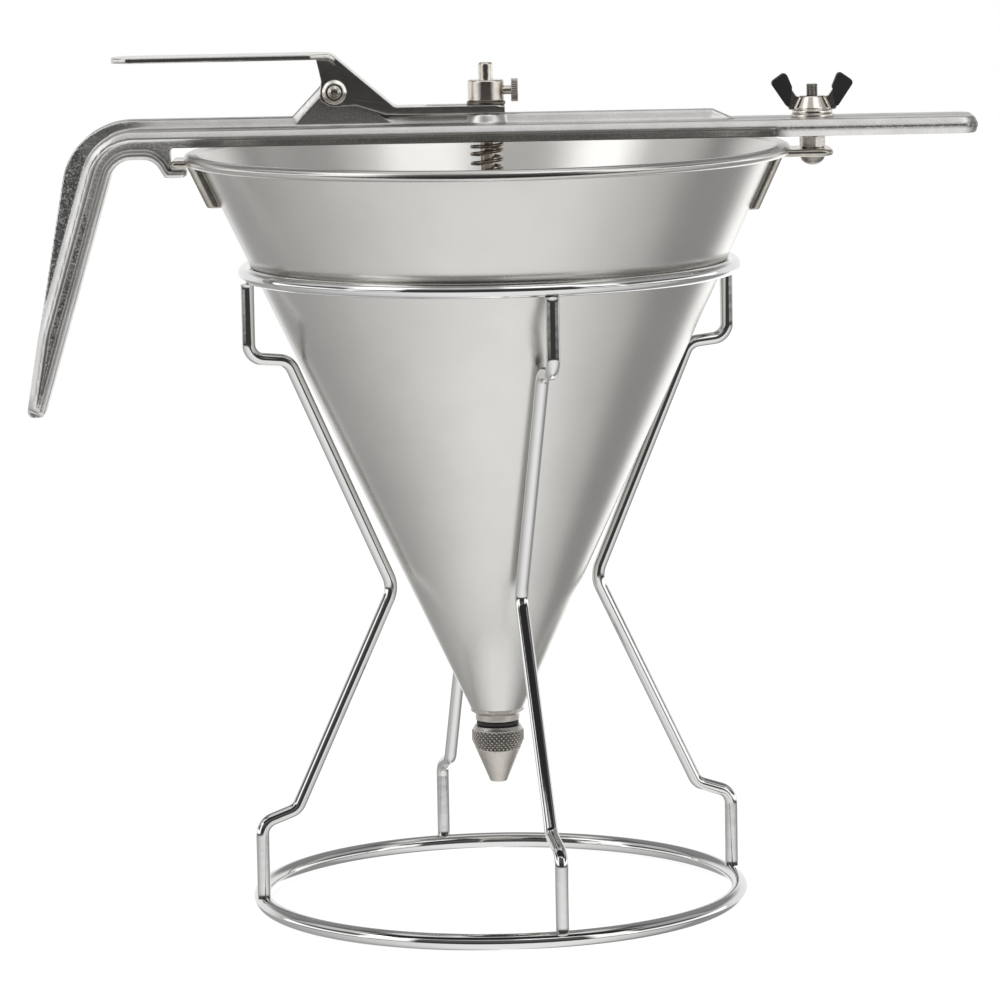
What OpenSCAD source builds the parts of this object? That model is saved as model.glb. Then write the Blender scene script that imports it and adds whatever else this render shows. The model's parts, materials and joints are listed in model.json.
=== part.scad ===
// Portioning funnel with a thumb lever that lifts its outlet valve, standing in a wire frame.
// Millimetres. The origin is the centre of the base ring on the floor, +Z is up, and +X runs
// along the handle bar from the valve rod towards its clamped end. The grip is on the -X side.

/* [Stand] */
// Centre-line radius of the base ring
base_ring_r = 84.2; // [78:0.1:92]
// Wire diameter of the base ring
base_wire_d = 6; // [5.5:0.1:7]
// Depth of the flat that the base ring stands on
base_flat = 0.4; // [0.2:0.1:0.8]
// Centre-line radius of the ring that carries the funnel
seat_ring_r = 84.8; // [80:0.1:90]
// Wire diameter of the seat ring
seat_wire_d = 5; // [4.8:0.1:6]
// Height of the seat ring's centre line above the floor
seat_ring_h = 223.4; // [215:0.1:240]
// Wire diameter of the legs
leg_wire_d = 4.6; // [4:0.1:4.7]
// Turn of the first leg from the bar's direction, in degrees
leg_turn = 14; // [0:1:40]
// Distance of the legs' uprights outside the centre lines of the rings
leg_out = 1; // [0:0.1:1.5]
// Clear gap between the funnel and the legs at their shoulders
shoulder_gap = 1.2; // [1:0.1:3]
// Clear gap between the funnel and the legs at their waists
waist_gap = 3.5; // [2:0.1:5]
// Centre-line radius of the bends in a leg
leg_bend_r = 5.5; // [5:0.1:6.5]
// Centre-line radius of the wider bend at the waist
waist_bend_r = 10; // [6:0.5:16]
// Height of a leg's upright under the seat ring
shoulder_drop = 28.2; // [24:0.1:32]
// Fall of the shoulder between that upright and the upper run
shoulder_fall = 1.4; // [0.5:0.1:3]
// Height of the waist, where the legs come closest to the outlet
waist_h = 112.7; // [100:0.1:130]
// Height of the knee at the foot of the lower run
knee_h = 36.3; // [32:0.1:45]
// Distance of that knee inside the base ring
knee_in = 11.5; // [10:0.1:14]
// Fall from the knee to the upright on the base ring
knee_fall = 4.3; // [3:0.1:6]

/* [Funnel] */
// Outside radius of the cone at the rim
cone_top_r = 100.2; // [95:0.1:106]
// Outside radius of the cone at the outlet
cone_bottom_r = 9.4; // [9:0.1:10.5]
// Height of the cone
cone_h = 195; // [185:0.1:205]
// Thickness of the sheet
sheet_t = 1; // [0.8:0.1:1.3]
// Diameter of the rolled bead round the rim
bead_d = 3.8; // [3.2:0.1:4.4]
// Distance of the bead's centre outside the cone
bead_out = 2.9; // [2.4:0.1:3.6]

/* [Outlet] */
// Height of the spout below the cone
spout_h = 4.4; // [3.8:0.1:5.4]
// Diameter of the spout's round lower end
spout_d = 15.4; // [15:0.1:16]
// Height of that round end
spout_land = 2.2; // [1.6:0.1:2.4]
// Height of the chamfer above that end
spout_chamfer = 1.2; // [0.8:0.1:1.3]
// Width across the spanner flats
spout_flats = 17.2; // [16.4:0.1:17.6]
// Height of the spout's shoulder inside the cone
spout_plug_h = 3; // [2:0.1:4]
// Diameter of the spout's bore
spout_bore_d = 7.6; // [7.2:0.1:7.8]
// Diameter of the threaded stub that carries the nozzle
stub_d = 9.6; // [9.2:0.1:9.8]
// Length of that stub below the spout
stub_l = 11; // [9:0.1:12]
// Outside diameter of the nozzle seal
seal_d = 14.8; // [14.6:0.1:15.4]
// Height of the seal when it is squeezed
seal_h = 1.9; // [1.7:0.1:2.1]
// Diameter of the nozzle's knurled band
nozzle_d = 18.4; // [17:0.1:20]
// Height of the band, with its chamfer
band_h = 5.1; // [4:0.1:7]
// Width of the chamfer round the band's top
nozzle_chamfer = 1.2; // [0.5:0.1:1.4]
// Height of that chamfer
nozzle_chamfer_h = 2; // [1:0.1:2.6]
// Length of the nozzle
nozzle_l = 20; // [19:0.1:24]
// Diameter of the nozzle's tip
nozzle_tip_d = 5.9; // [5.2:0.1:6.6]
// Diameter of the orifice
orifice_d = 4; // [3:0.1:4.4]

/* [Brackets] */
// Width of the two brackets
bracket_w = 22; // [18:0.5:28]
// Thickness of the hooked bracket's strap, which lies along the cone
hook_strap_t = 4.4; // [3.6:0.1:5]
// Thickness of the bolted bracket's strap
bolt_strap_t = 3.1; // [2.6:0.1:4.4]
// Height of the bolted bracket's strap below the bead's centre
bolt_strap_drop = 20.8; // [16:0.1:26]
// Height of the hooked bracket's strap below the bead's centre
hook_strap_drop = 16.8; // [14:0.1:24]
// Thickness of the level tabs
tab_t = 2.6; // [2.2:0.1:3]
// Depth of the tabs' lower faces below the bead
tab_below = 0.9; // [0.7:0.1:1.4]
// Reach of the hooked tab beyond the rim
hook_reach = 4.2; // [3:0.1:5]

/* [Clamp] */
// Distance of the clamp bolt from the valve rod
bolt_x = 112.8; // [111:0.1:118]
// Diameter of the clamp bolt
bolt_d = 4; // [3.6:0.1:4.4]
// Diameter of the bolt's domed head
bolt_head_d = 8.7; // [8:0.1:10]
// Height of that head
bolt_head_h = 3.5; // [2.8:0.1:4]
// Length of the bolt above the wing nut
bolt_proud = 4; // [3:0.1:6]
// Distance from the bolt to the end of its tab
tab_end = 6.8; // [5.5:0.1:9]
// Width across the flats of the lock nut
nut_flats = 8; // [7.6:0.1:9]
// Height of the lock nut
nut_h = 4.2; // [3.8:0.1:5]
// Diameter of the washer under the bar
lock_washer_d = 7.4; // [7:0.1:9]
// Thickness of the washer under the bar
lock_washer_t = 0.5; // [0.4:0.1:1]
// Diameter of the washer under the wing nut
clamp_washer_d = 15; // [13.5:0.1:17]
// Thickness of the washer under the wing nut
clamp_washer_t = 1.2; // [0.8:0.1:1.6]
// Diameter of the wing nut's foot
wing_foot_d = 14; // [13:0.1:14.4]
// Diameter of the wing nut's top
wing_top_d = 9; // [8:0.1:10]
// Height of the wing nut's body
wing_body_h = 6.2; // [5.5:0.1:7]
// Thickness of the wings
wing_t = 3.4; // [2.6:0.1:3.8]
// Thickness of the plastic caps on the wings
wing_cap_t = 5; // [4:0.1:6]
// Distance from the bolt to a wing's outer tip
wing_reach = 14.5; // [13:0.1:16]
// Height of a wing's top above the washer
wing_rise = 14.7; // [13:0.1:15]

/* [Handle casting] */
// Width of the bar's flange and of its plain end
bar_w = 28; // [24:0.5:34]
// Thickness of the upright web
web_t = 8; // [7:0.1:9]
// Thickness of the bar's plain end
paddle_t = 5.9; // [5.2:0.1:6.6]
// Thickness of the flange
flange_t = 3.5; // [3:0.1:4]
// Height of the rib on top of the flange
upper_rib_h = 3.4; // [2.8:0.1:3.8]
// Drop of the rib under the flange below the bar's plain end
rib_drop = 0.7; // [0.3:0.1:1]
// Distance from the valve rod to the end of the bar
bar_end_x = 169.5; // [150:0.5:180]
// Corner radius of the bar's end, seen from above
bar_end_r = 6; // [3:0.5:10]
// Distance from the valve rod to where the bar becomes plain and thick
paddle_x = 101; // [96:0.1:103]
// Distance from the valve rod to the end of the upper rib
rib_end_x = 78.5; // [70:0.1:90]
// Length of the slope at the end of the upper rib
rib_slope = 7.5; // [4:0.1:10]
// Diameter of the boss that guides the valve rod
boss_d = 16.4; // [14:0.1:18]
// Distance from the valve rod to the outer edge of the grip, level with the bar's top
grip_x = 143.4; // [141:0.1:147]
// Lean of the grip's outer edge, in degrees
grip_lean = 10.3; // [8:0.1:14]
// Length of the grip below the bar's top
grip_l = 103.2; // [90:0.1:112]
// Depth of the grip at the bar's underside
grip_depth = 17.7; // [16:0.1:19]
// Depth of the grip at its tip
grip_tip_depth = 6.3; // [5.6:0.1:7]
// Width of the grip at its tip
grip_tip_w = 15; // [13.5:0.5:20]
// Corner radius of the grip's tip, seen along the bar
grip_tip_r = 6; // [4:0.5:6.5]
// Radius where the grip's sides begin to narrow
grip_flare_r = 40; // [20:1:60]
// Radius of the bend at the grip's outer edge
grip_bend_r = 25; // [20:0.5:27]
// Thickness of the ridge along the grip
ridge_t = 3.6; // [3:0.1:4.2]
// Distance from the ridge's centre to the grip's inner edge
ridge_in = 8.2; // [7.6:0.1:8.8]
// Bend radius of the ridge's outer side
ridge_bend_r = 19; // [16:0.5:21]
// Thickness of the bead along the grip's inner edge
grip_bead_t = 4.2; // [3.4:0.1:4.8]
// Width of that bead
grip_bead_w = 13; // [11:0.5:15]
// Height of the arch under the bar's underside
arch_drop = 3.8; // [3.2:0.1:4.4]
// Radius of the arch on the grip's side
arch_r = 8; // [6:0.5:8.5]
// Radius of the arch on the foot's side
foot_r = 9; // [6:0.5:9.5]
// Thickness of the hook's lip
lip_t = 2.6; // [2.2:0.1:3.4]
// Clearance between the hook's lip and the tab above it
lip_gap = 1; // [0.6:0.1:1.4]
// Clearance between the hook's lip and the strap
lip_short = 0.8; // [0.5:0.1:1.5]
// Wall behind the hook's notch
notch_wall = 1.8; // [1.4:0.1:2.4]

/* [Lever] */
// Thickness of the lever's sheet
lever_t = 1.8; // [1.4:0.1:2.2]
// Width of the thumb plate
thumb_w = 20; // [17:0.5:24]
// Distance from the valve rod to the tip of the thumb plate
thumb_x = 129.3; // [115:0.1:131]
// Height of the thumb plate's top above the bar, at its root
thumb_rise = 21.7; // [20.5:0.1:23]
// Fall of the thumb plate towards its tip
thumb_dip = 0.2; // [0:0.1:1]
// Distance from the valve rod to the top of the lever's slope
slope_top_x = 53.6; // [53:0.1:55]
// Distance from the valve rod to the foot of the lever's slope
slope_foot_x = 32; // [30.5:0.1:33]
// Thickness of the two cheeks
cheek_t = 1.6; // [1.3:0.1:2]
// Distance from the valve rod to the pivot
pivot_x = 52.2; // [51.5:0.1:53]
// Height of the pivot above the bar
pivot_rise = 8.5; // [8:0.1:9]
// Diameter of the pivot pin
pivot_d = 5; // [4:0.1:5.4]
// Diameter of the pin's head and of its nut
pivot_head_d = 8.7; // [8:0.1:10]
// Thickness of that head and nut
pivot_head_h = 2; // [1.6:0.1:2.6]
// Radius of the casting's ear about the pivot
ear_r = 5.6; // [5:0.1:6]
// Distance from the valve rod to the left foot of the ear
ear_left_x = 70.4; // [67:0.1:72]
// Distance from the valve rod to the right foot of the ear
ear_right_x = 30.5; // [29:0.1:36]
// Gap between the bar and the fork
fork_gap = 1.2; // [0.6:0.1:1.6]
// Width of the fork under the collar
fork_w = 14; // [13:0.1:16]
// Reach of the fork beyond the valve rod
fork_reach = 6.5; // [5:0.1:7]

/* [Valve rod] */
// Diameter of the valve rod
rod_d = 5; // [4.4:0.1:5.4]
// Length of the rod above the adjusting collar
rod_proud = 6; // [4:0.1:7]
// Diameter of the adjusting collar
collar_d = 12.6; // [11.5:0.1:14]
// Height of the adjusting collar
collar_h = 7.4; // [6.5:0.1:8.5]
// Diameter of the washer under the collar
fork_washer_d = 13.4; // [12.6:0.1:15]
// Thickness of the washer under the collar
fork_washer_t = 1.1; // [0.8:0.1:1.4]
// Diameter of the thumb screw's shank
screw_d = 3; // [2.5:0.1:3.5]
// Diameter of the thumb screw's head
screw_head_d = 8; // [7:0.1:9]
// Thickness of the thumb screw's head
screw_head_t = 2.4; // [2:0.1:3]
// Free shank between the collar and the screw's head
screw_neck = 2.4; // [1.5:0.1:3.5]
// Diameter of the valve plunger
plunger_d = 14; // [12:0.1:15]
// Height of the plunger's straight part
plunger_h = 4; // [3:0.1:6]
// Depth of the rod in the plunger
rod_socket = 7; // [5:0.5:8]

/* [Return spring] */
// Outside diameter of the spring
spring_d = 11.8; // [10:0.1:13]
// Wire diameter of the spring
spring_wire = 1.3; // [1:0.1:1.5]
// Length of the spring with the valve shut
spring_l = 44; // [40:0.5:50]
// Number of open curls between the two closed ones
spring_curls = 12; // [8:1:13]
// Diameter of the washer that carries the spring
spring_washer_d = 12.6; // [12:0.1:14]
// Thickness of that washer
spring_washer_t = 1.2; // [1:0.1:1.6]
// Diameter of the cross pin under that washer
spring_pin_d = 2; // [1.6:0.1:2.4]

/* [Fits] */
// Radial clearance of what turns or slides on a round face
run_gap = 0.06; // [0.03:0.01:0.09]
// Gap between a piece and the face that it is welded or screwed to
weld_gap = 0.05; // [0.02:0.01:0.08]
// Clearance between pieces that move past each other
move_gap = 0.4; // [0.3:0.05:0.5]
// Clearance between the funnel and the seat ring, and at the valve seat
seat_gap = 0.3; // [0.2:0.05:0.4]

/* [Hidden] */

$fn = 64;
arc_steps = 10;
big = 1000;

chrome = "gainsboro";
satin_steel = "silver";
cast_metal = "lightgray";
bright_steel = "darkgray";
dark_steel = "dimgray";
black = "#1c1c1c";

// Funnel: the cone rests inside the seat ring, which sets its height
cone_slope = (cone_top_r - cone_bottom_r) / cone_h;
cone_angle = atan(cone_slope);
wall_r = sheet_t / cos(cone_angle);
seat_r = seat_ring_r - (seat_wire_d / 2 + seat_gap) / cos(cone_angle);
cone_z0 = seat_ring_h - (seat_r - cone_bottom_r) / cone_slope;
bead_z = cone_z0 + cone_h;
bead_r = cone_top_r + bead_out;
rim_r = bead_r + bead_d / 2;
lip_sink = 0.25;
lip_z = bead_z + bead_d / 2 - lip_sink;

// Outside radius of the cone at height z
function cone_r(z) = cone_bottom_r + cone_slope * (z - cone_z0);

// Stand
base_z = base_wire_d / 2 - base_flat;
shoulder_z = seat_ring_h - shoulder_drop;
run_z = shoulder_z - shoulder_fall;
leg_path = [
    [seat_ring_r + leg_out, seat_ring_h - seat_wire_d / 4],
    [seat_ring_r + leg_out, shoulder_z],
    [beside_cone(run_z, shoulder_gap), run_z],
    [beside_cone(waist_h, waist_gap), waist_h],
    [base_ring_r - knee_in, knee_h],
    [base_ring_r + leg_out, knee_h - knee_fall],
    [base_ring_r + leg_out, base_z + base_wire_d / 4]];
leg_bends = [0, leg_bend_r, leg_bend_r, waist_bend_r, leg_bend_r, leg_bend_r, 0];

// Radius at height z of a leg's centre line that clears the cone by a gap
function beside_cone(z, gap) = cone_r(z) + (gap + leg_wire_d / 2) / cos(cone_angle);

// Outlet
spout_z0 = cone_z0 - spout_h;
spout_seat_z = spout_z0 + spout_land / 2;
spout_top_z = cone_z0 + spout_plug_h;
plug_top_r = cone_r(spout_top_z) - wall_r - weld_gap;
spout_edge = 0.6;
seat_slope = (plug_top_r - spout_edge - spout_bore_d / 2) / (spout_top_z - spout_seat_z);
seal_cord = (seal_d - stub_d) / 2 - 2 * weld_gap;
nozzle_z1 = spout_z0 - seal_h;
nozzle_z0 = nozzle_z1 - nozzle_l;
stub_z0 = spout_z0 - stub_l;
nozzle_bore_r = stub_d / 2 + run_gap;
nozzle_floor_z = stub_z0 - move_gap;
orifice_l = 2;

// Brackets and clamp: the stack on the tab sets the height of the bar
bead_z0 = bead_z - bead_d / 2 - weld_gap;
tab_z0 = bead_z0 - tab_below;
tab_z1 = tab_z0 + tab_t;
hook_strap_r = hook_strap_t / cos(cone_angle);
bolt_strap_r = bolt_strap_t / cos(cone_angle);
paddle_z0 = tab_z1 + nut_h + lock_washer_t;
hook_tab_x = rim_r + hook_reach;

// Handle casting
bar_z0 = paddle_z0 - rib_drop;
flange_z1 = paddle_z0 + paddle_t;
flange_z0 = flange_z1 - flange_t;
bar_z1 = flange_z1 + upper_rib_h;
grip_z0 = bar_z1 - grip_l;
notch_x = hook_tab_x + move_gap;
lip_z1 = tab_z0 - lip_gap;
foot_z0 = lip_z1 - lip_t;
lip_x = cone_r(lip_z1) + hook_strap_r + weld_gap + lip_short;
arch_z = bar_z0 - arch_drop;
grip_round = grip_tip_depth * 0.4;

// Distance of the grip's outer and inner edges from the rod, at height z
function grip_out(z) = grip_x + tan(grip_lean) * (bar_z1 - z);
function grip_in(z) = grip_out(z) - grip_tip_depth
    - (grip_depth - grip_tip_depth) * (z - grip_z0) / (bar_z0 - grip_z0);

// Lever: its fork lies just above the boss and under the collar
fork_z0 = bar_z1 + fork_gap;
fork_z1 = fork_z0 + lever_t;
thumb_z1 = bar_z1 + thumb_rise;
pivot_z = bar_z1 + pivot_rise;
cheek_y0 = web_t / 2 + move_gap;
cheek_y1 = cheek_y0 + cheek_t;
lever_path = [
    [-thumb_x, thumb_z1 - thumb_dip - lever_t / 2],
    [-slope_top_x, thumb_z1 - lever_t / 2],
    [-slope_foot_x, fork_z1 - lever_t / 2],
    [fork_reach, fork_z1 - lever_t / 2]];
lever_bend_r = 4;

// Valve rod
fork_washer_z = fork_z1 + weld_gap;
collar_z = fork_washer_z + fork_washer_t;
rod_z1 = collar_z + collar_h + rod_proud;
screw_z = collar_z + collar_h / 2;
plunger_tip_r = spout_bore_d / 2 - 0.8;
plunger_gap_r = seat_gap * sqrt(1 + seat_slope * seat_slope);

// Height at which the plunger's seating cone has radius r
function plunger_cone_z(r) = spout_seat_z + (r + plunger_gap_r - spout_bore_d / 2) / seat_slope;
plunger_z0 = plunger_cone_z(plunger_tip_r);
plunger_shoulder_z = plunger_cone_z(plunger_d / 2) + plunger_h;
plunger_neck_r = rod_d / 2 + 1.6;
plunger_z1 = plunger_shoulder_z + plunger_d / 2 - plunger_neck_r + rod_socket - 2;
rod_z0 = plunger_z1 - rod_socket;

// Return spring
spring_z1 = bar_z0 - weld_gap;
spring_z0 = spring_z1 - spring_l;
spring_washer_z = spring_z0 - weld_gap - spring_washer_t;
spring_pin_z = spring_washer_z - weld_gap - spring_pin_d / 2;
spring_r = (spring_d - spring_wire) / 2;
spring_end_gap = 0.5;
spring_end_pitch = spring_wire + spring_end_gap;
spring_pitch = (spring_l - spring_wire - 2 * spring_end_pitch) / spring_curls;
spring_rings = 8;
spring_sides = 6;
spring_count = (spring_curls + 2) * spring_rings;

// Paths in the plane
function unit(v) = v / norm(v);
function heading(v) = atan2(v[1], v[0]);
function shortest(a) = a > 180 ? a - 360 : a < -180 ? a + 360 : a;
function reversed(list) = [for (i = [len(list) - 1:-1:0]) list[i]];
function mirrored(path) = [for (p = path) [-p[0], p[1]]];

// Half the angle inside corner b of the path a, b, c, and the arc of radius r that rounds it
function corner_half(a, b, c) = acos(unit(a - b) * unit(c - b)) / 2;
function corner_trim(a, b, c, r) = r / tan(corner_half(a, b, c));
function corner_centre(a, b, c, r) =
    b + unit(unit(a - b) + unit(c - b)) * r / sin(corner_half(a, b, c));
function corner_start(a, b, c, r) =
    heading(b + unit(a - b) * corner_trim(a, b, c, r) - corner_centre(a, b, c, r));
function corner_sweep(a, b, c, r) = shortest(
    heading(b + unit(c - b) * corner_trim(a, b, c, r) - corner_centre(a, b, c, r))
    - corner_start(a, b, c, r));
function corner_arc(a, b, c, r) = r == 0 ? [b] : let (
        centre = corner_centre(a, b, c, r),
        start = corner_start(a, b, c, r),
        sweep = corner_sweep(a, b, c, r))
    [for (i = [0:arc_steps]) let (at = start + sweep * i / arc_steps) centre + r * [cos(at), sin(at)]];

// An open path, and a closed outline, with radii that round their corners
function rounded(path, radii) = [for (i = [0:len(path) - 1])
    each i == 0 || i == len(path) - 1 ? [path[i]]
        : corner_arc(path[i - 1], path[i], path[i + 1], radii[i])];
function rounded_loop(path, radii) = let (n = len(path)) [for (i = [0:n - 1])
    each corner_arc(path[(i + n - 1) % n], path[i], path[(i + 1) % n], radii[i])];

// A path moved by d to the left of its direction, and the band of width t about a path
function normal(a, b) = let (u = unit(b - a)) [-u[1], u[0]];
function shifted(path, d) = let (n = len(path)) [for (i = [0:n - 1]) let (
        before = normal(path[max(i - 1, 0)], path[max(i, 1)]),
        after = normal(path[min(i, n - 2)], path[min(i + 1, n - 1)]))
    path[i] + d * (before + after) / (1 + before * after)];
function band(path, t) = concat(shifted(path, t / 2), reversed(shifted(path, -t / 2)));

// A side view, in X and Z, made into a plate of width w across Y
module side_plate(outline, w) {
    rotate([90, 0, 0]) linear_extrude(w, center = true) polygon(outline);
}

// A plan view, in X and Y, made into a plate between two heights
module plan_plate(outline, z0, z1) {
    translate([0, 0, z0]) linear_extrude(z1 - z0) polygon(outline);
}

module ring(r, d) {
    rotate_extrude() translate([r, 0]) circle(d = d);
}

module washer(d, hole_d, t) {
    difference() {
        cylinder(d = d, h = t);
        translate([0, 0, -t]) cylinder(d = hole_d, h = 3 * t);
    }
}

// A pin across Y between two places
module cross_pin(d, y0, y1) {
    translate([0, y1, 0]) rotate([90, 0, 0]) cylinder(d = d, h = y1 - y0);
}

// A wire bent in the XZ plane: straight runs with an arc at each inner corner. The arcs are a
// hair thicker than the runs, so that each run ends inside its arc and the wire is one solid.
module bent_wire(path, radii, d) {
    last = len(path) - 1;
    overlap = 0.4;
    arc_d = d + 0.04;
    trims = [for (i = [0:last]) i == 0 || i == last ? 0
        : corner_trim(path[i - 1], path[i], path[i + 1], radii[i]) - overlap];
    for (i = [0:last - 1]) {
        way = unit(path[i + 1] - path[i]);
        from = path[i] + way * trims[i];
        run = norm(path[i + 1] - path[i]) - trims[i] - trims[i + 1];
        translate([from[0], 0, from[1]]) rotate([0, atan2(way[0], way[1]), 0]) cylinder(d = d, h = run);
    }
    for (i = [1:last - 1]) {
        centre = corner_centre(path[i - 1], path[i], path[i + 1], radii[i]);
        start = corner_start(path[i - 1], path[i], path[i + 1], radii[i]);
        sweep = corner_sweep(path[i - 1], path[i], path[i + 1], radii[i]);
        translate([centre[0], 0, centre[1]]) rotate([90, 0, 0]) rotate([0, 0, min(start, start + sweep)])
            rotate_extrude(angle = abs(sweep)) translate([radii[i], 0]) circle(d = arc_d);
    }
}

// The cone's outside, grown by a gap, as a solid between two heights
module cone_solid(gap, z0, z1) {
    translate([0, 0, z0]) cylinder(r1 = cone_r(z0) + gap, r2 = cone_r(z1) + gap, h = z1 - z0);
}

module stand_base_ring() color(chrome) {
    difference() {
        translate([0, 0, base_z]) ring(base_ring_r, base_wire_d);
        translate([0, 0, -base_wire_d]) cylinder(r = base_ring_r + base_wire_d, h = base_wire_d);
    }
}

module stand_seat_ring() color(chrome) {
    translate([0, 0, seat_ring_h]) ring(seat_ring_r, seat_wire_d);
}

// One of the four legs, with its ends shaped to the rings
module stand_leg(i) color(chrome) {
    rotate([0, 0, leg_turn + 90 * i]) difference() {
        bent_wire(leg_path, leg_bends, leg_wire_d);
        translate([0, 0, seat_ring_h]) ring(seat_ring_r, seat_wire_d + 2 * weld_gap);
        translate([0, 0, base_z]) ring(base_ring_r, base_wire_d + 2 * weld_gap);
    }
}

module funnel_cone() color(satin_steel) {
    rotate_extrude() polygon([
        [cone_bottom_r - wall_r, cone_z0],
        [cone_bottom_r, cone_z0],
        [cone_r(lip_z - sheet_t), lip_z - sheet_t],
        [bead_r, lip_z - sheet_t],
        [bead_r, lip_z],
        [cone_r(lip_z) - wall_r, lip_z]]);
    translate([0, 0, bead_z]) ring(bead_r, bead_d);
}

// A strap rolled to the cone, with a level tab that passes under the bead and reaches out to x
module bracket(x, strap_drop, strap_r, end_r) {
    half = asin(bracket_w / 2 / bead_r);
    strap_z0 = bead_z - strap_drop;
    strap_z1 = (tab_z0 + bead_z0) / 2;
    gap_r = weld_gap / cos(cone_angle);
    rotate([0, 0, -half]) rotate_extrude(angle = 2 * half) polygon([
        [cone_r(strap_z0) + gap_r, strap_z0],
        [cone_r(strap_z0) + gap_r + strap_r, strap_z0],
        [cone_r(strap_z1) + gap_r + strap_r, strap_z1],
        [cone_r(strap_z1) + gap_r, strap_z1]]);
    difference() {
        plan_plate(rounded_loop(
            [[cone_r(tab_z0) / 2, -bracket_w / 2], [x, -bracket_w / 2], [x, bracket_w / 2],
                [cone_r(tab_z0) / 2, bracket_w / 2]], [0, end_r, end_r, 0]), tab_z0, tab_z1);
        cone_solid(gap_r, tab_z0 - tab_t, tab_z1 + tab_t);
        translate([0, 0, bead_z0]) cylinder(r = bead_r, h = 2 * tab_t);
        translate([0, 0, bead_z]) ring(bead_r, bead_d + 2 * weld_gap);
    }
}

module hook_bracket() color(satin_steel) {
    rotate([0, 0, 180]) bracket(hook_tab_x, hook_strap_drop, hook_strap_r, 1.5);
}

module bolt_bracket() color(satin_steel) {
    difference() {
        bracket(bolt_x + tab_end, bolt_strap_drop, bolt_strap_r, 4);
        translate([bolt_x, 0, tab_z0 - tab_t]) cylinder(d = bolt_d + 2 * weld_gap, h = 3 * tab_t);
    }
}

// Turned spout with spanner flats, a shoulder inside the cone and a stub for the nozzle
module outlet_spout() color(satin_steel) {
    difference() {
        union() {
            intersection() {
                rotate_extrude() polygon([
                    [0, spout_z0], [spout_d / 2, spout_z0], [spout_d / 2, spout_z0 + spout_land],
                    [cone_bottom_r, spout_z0 + spout_land + spout_chamfer],
                    [cone_bottom_r, cone_z0], [0, cone_z0]]);
                translate([0, 0, spout_z0])
                    cylinder(d = spout_flats / cos(30), h = spout_h, $fn = 6);
            }
            rotate_extrude() polygon([
                [0, cone_z0], [cone_bottom_r - wall_r - weld_gap, cone_z0],
                [plug_top_r, spout_top_z], [0, spout_top_z]]);
            translate([0, 0, stub_z0]) cylinder(d = stub_d, h = stub_l);
        }
        translate([0, 0, stub_z0 - 1]) cylinder(d = spout_bore_d, h = spout_top_z - stub_z0 + 2);
        translate([0, 0, spout_seat_z]) cylinder(
            r1 = spout_bore_d / 2, r2 = plug_top_r - spout_edge, h = spout_top_z - spout_seat_z);
    }
}

// Rubber ring, squeezed flat between the spout and the nozzle
module nozzle_seal() color(black) {
    rotate_extrude() translate([seal_d / 2 - seal_cord / 2, nozzle_z1 + seal_h / 2]) intersection() {
        circle(d = seal_cord);
        square([2 * seal_cord, seal_h], center = true);
    }
}

module nozzle() color(satin_steel) {
    rotate_extrude() polygon([
        [nozzle_bore_r, nozzle_z1],
        [nozzle_d / 2 - nozzle_chamfer, nozzle_z1],
        [nozzle_d / 2, nozzle_z1 - nozzle_chamfer_h],
        [nozzle_d / 2, nozzle_z1 - band_h],
        [nozzle_tip_d / 2, nozzle_z0],
        [orifice_d / 2, nozzle_z0],
        [orifice_d / 2, nozzle_z0 + orifice_l],
        [nozzle_bore_r, nozzle_floor_z],
        [nozzle_bore_r, nozzle_z1]]);
}

// Side view of the casting's web: bar ribs, grip, arch and hooked foot
web_outline = rounded_loop([
        [paddle_x, bar_z0],
        [paddle_x, flange_z1],
        [rib_end_x + rib_slope, flange_z1],
        [rib_end_x, bar_z1],
        [-grip_x, bar_z1],
        [-grip_out(grip_z0), grip_z0],
        [-grip_in(grip_z0), grip_z0],
        [-grip_in(arch_z), arch_z],
        [-notch_x - notch_wall - arch_drop, arch_z],
        [-notch_x - notch_wall, foot_z0],
        [-lip_x, foot_z0],
        [-lip_x, lip_z1],
        [-notch_x, lip_z1],
        [-notch_x, bar_z0]],
    [0, 0, 0, 1, grip_bend_r, grip_round, grip_round, arch_r, foot_r, 0, 1, 0.5, 1, 1]);

// Side view of the flange along the bar, which thins to the ridge down the grip
function ridge_x(z) = grip_in(z) + ridge_in;
ridge_end_z = grip_z0 + grip_round;
flange_outline = concat(
    rounded([[paddle_x, flange_z1], [-ridge_x(flange_z1) - ridge_t / 2, flange_z1],
        [-ridge_x(ridge_end_z) - ridge_t / 2, ridge_end_z]], [0, ridge_bend_r, 0]),
    rounded([[-ridge_x(ridge_end_z) + ridge_t / 2, ridge_end_z],
        [-ridge_x(flange_z0) + ridge_t / 2, flange_z0], [paddle_x, flange_z0]],
        [0, ridge_bend_r - flange_t, 0]));

// Centre line of the bead that edges the grip's inner side, the arch and the foot
grip_bead_path = shifted(rounded([
        [-grip_in(ridge_end_z), ridge_end_z],
        [-grip_in(arch_z), arch_z],
        [-notch_x - notch_wall - arch_drop, arch_z],
        [-notch_x - notch_wall, foot_z0],
        [-lip_x, foot_z0]],
    [0, arch_r, foot_r, 0, 0]), grip_bead_t / 2);

// Widths of the grip, seen along the bar
grip_width_outline = [
    [-bar_w / 2, bar_z1], [-bar_w / 2, arch_z], [-grip_tip_w / 2, grip_z0],
    [grip_tip_w / 2, grip_z0], [bar_w / 2, arch_z], [bar_w / 2, bar_z1]];

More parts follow.
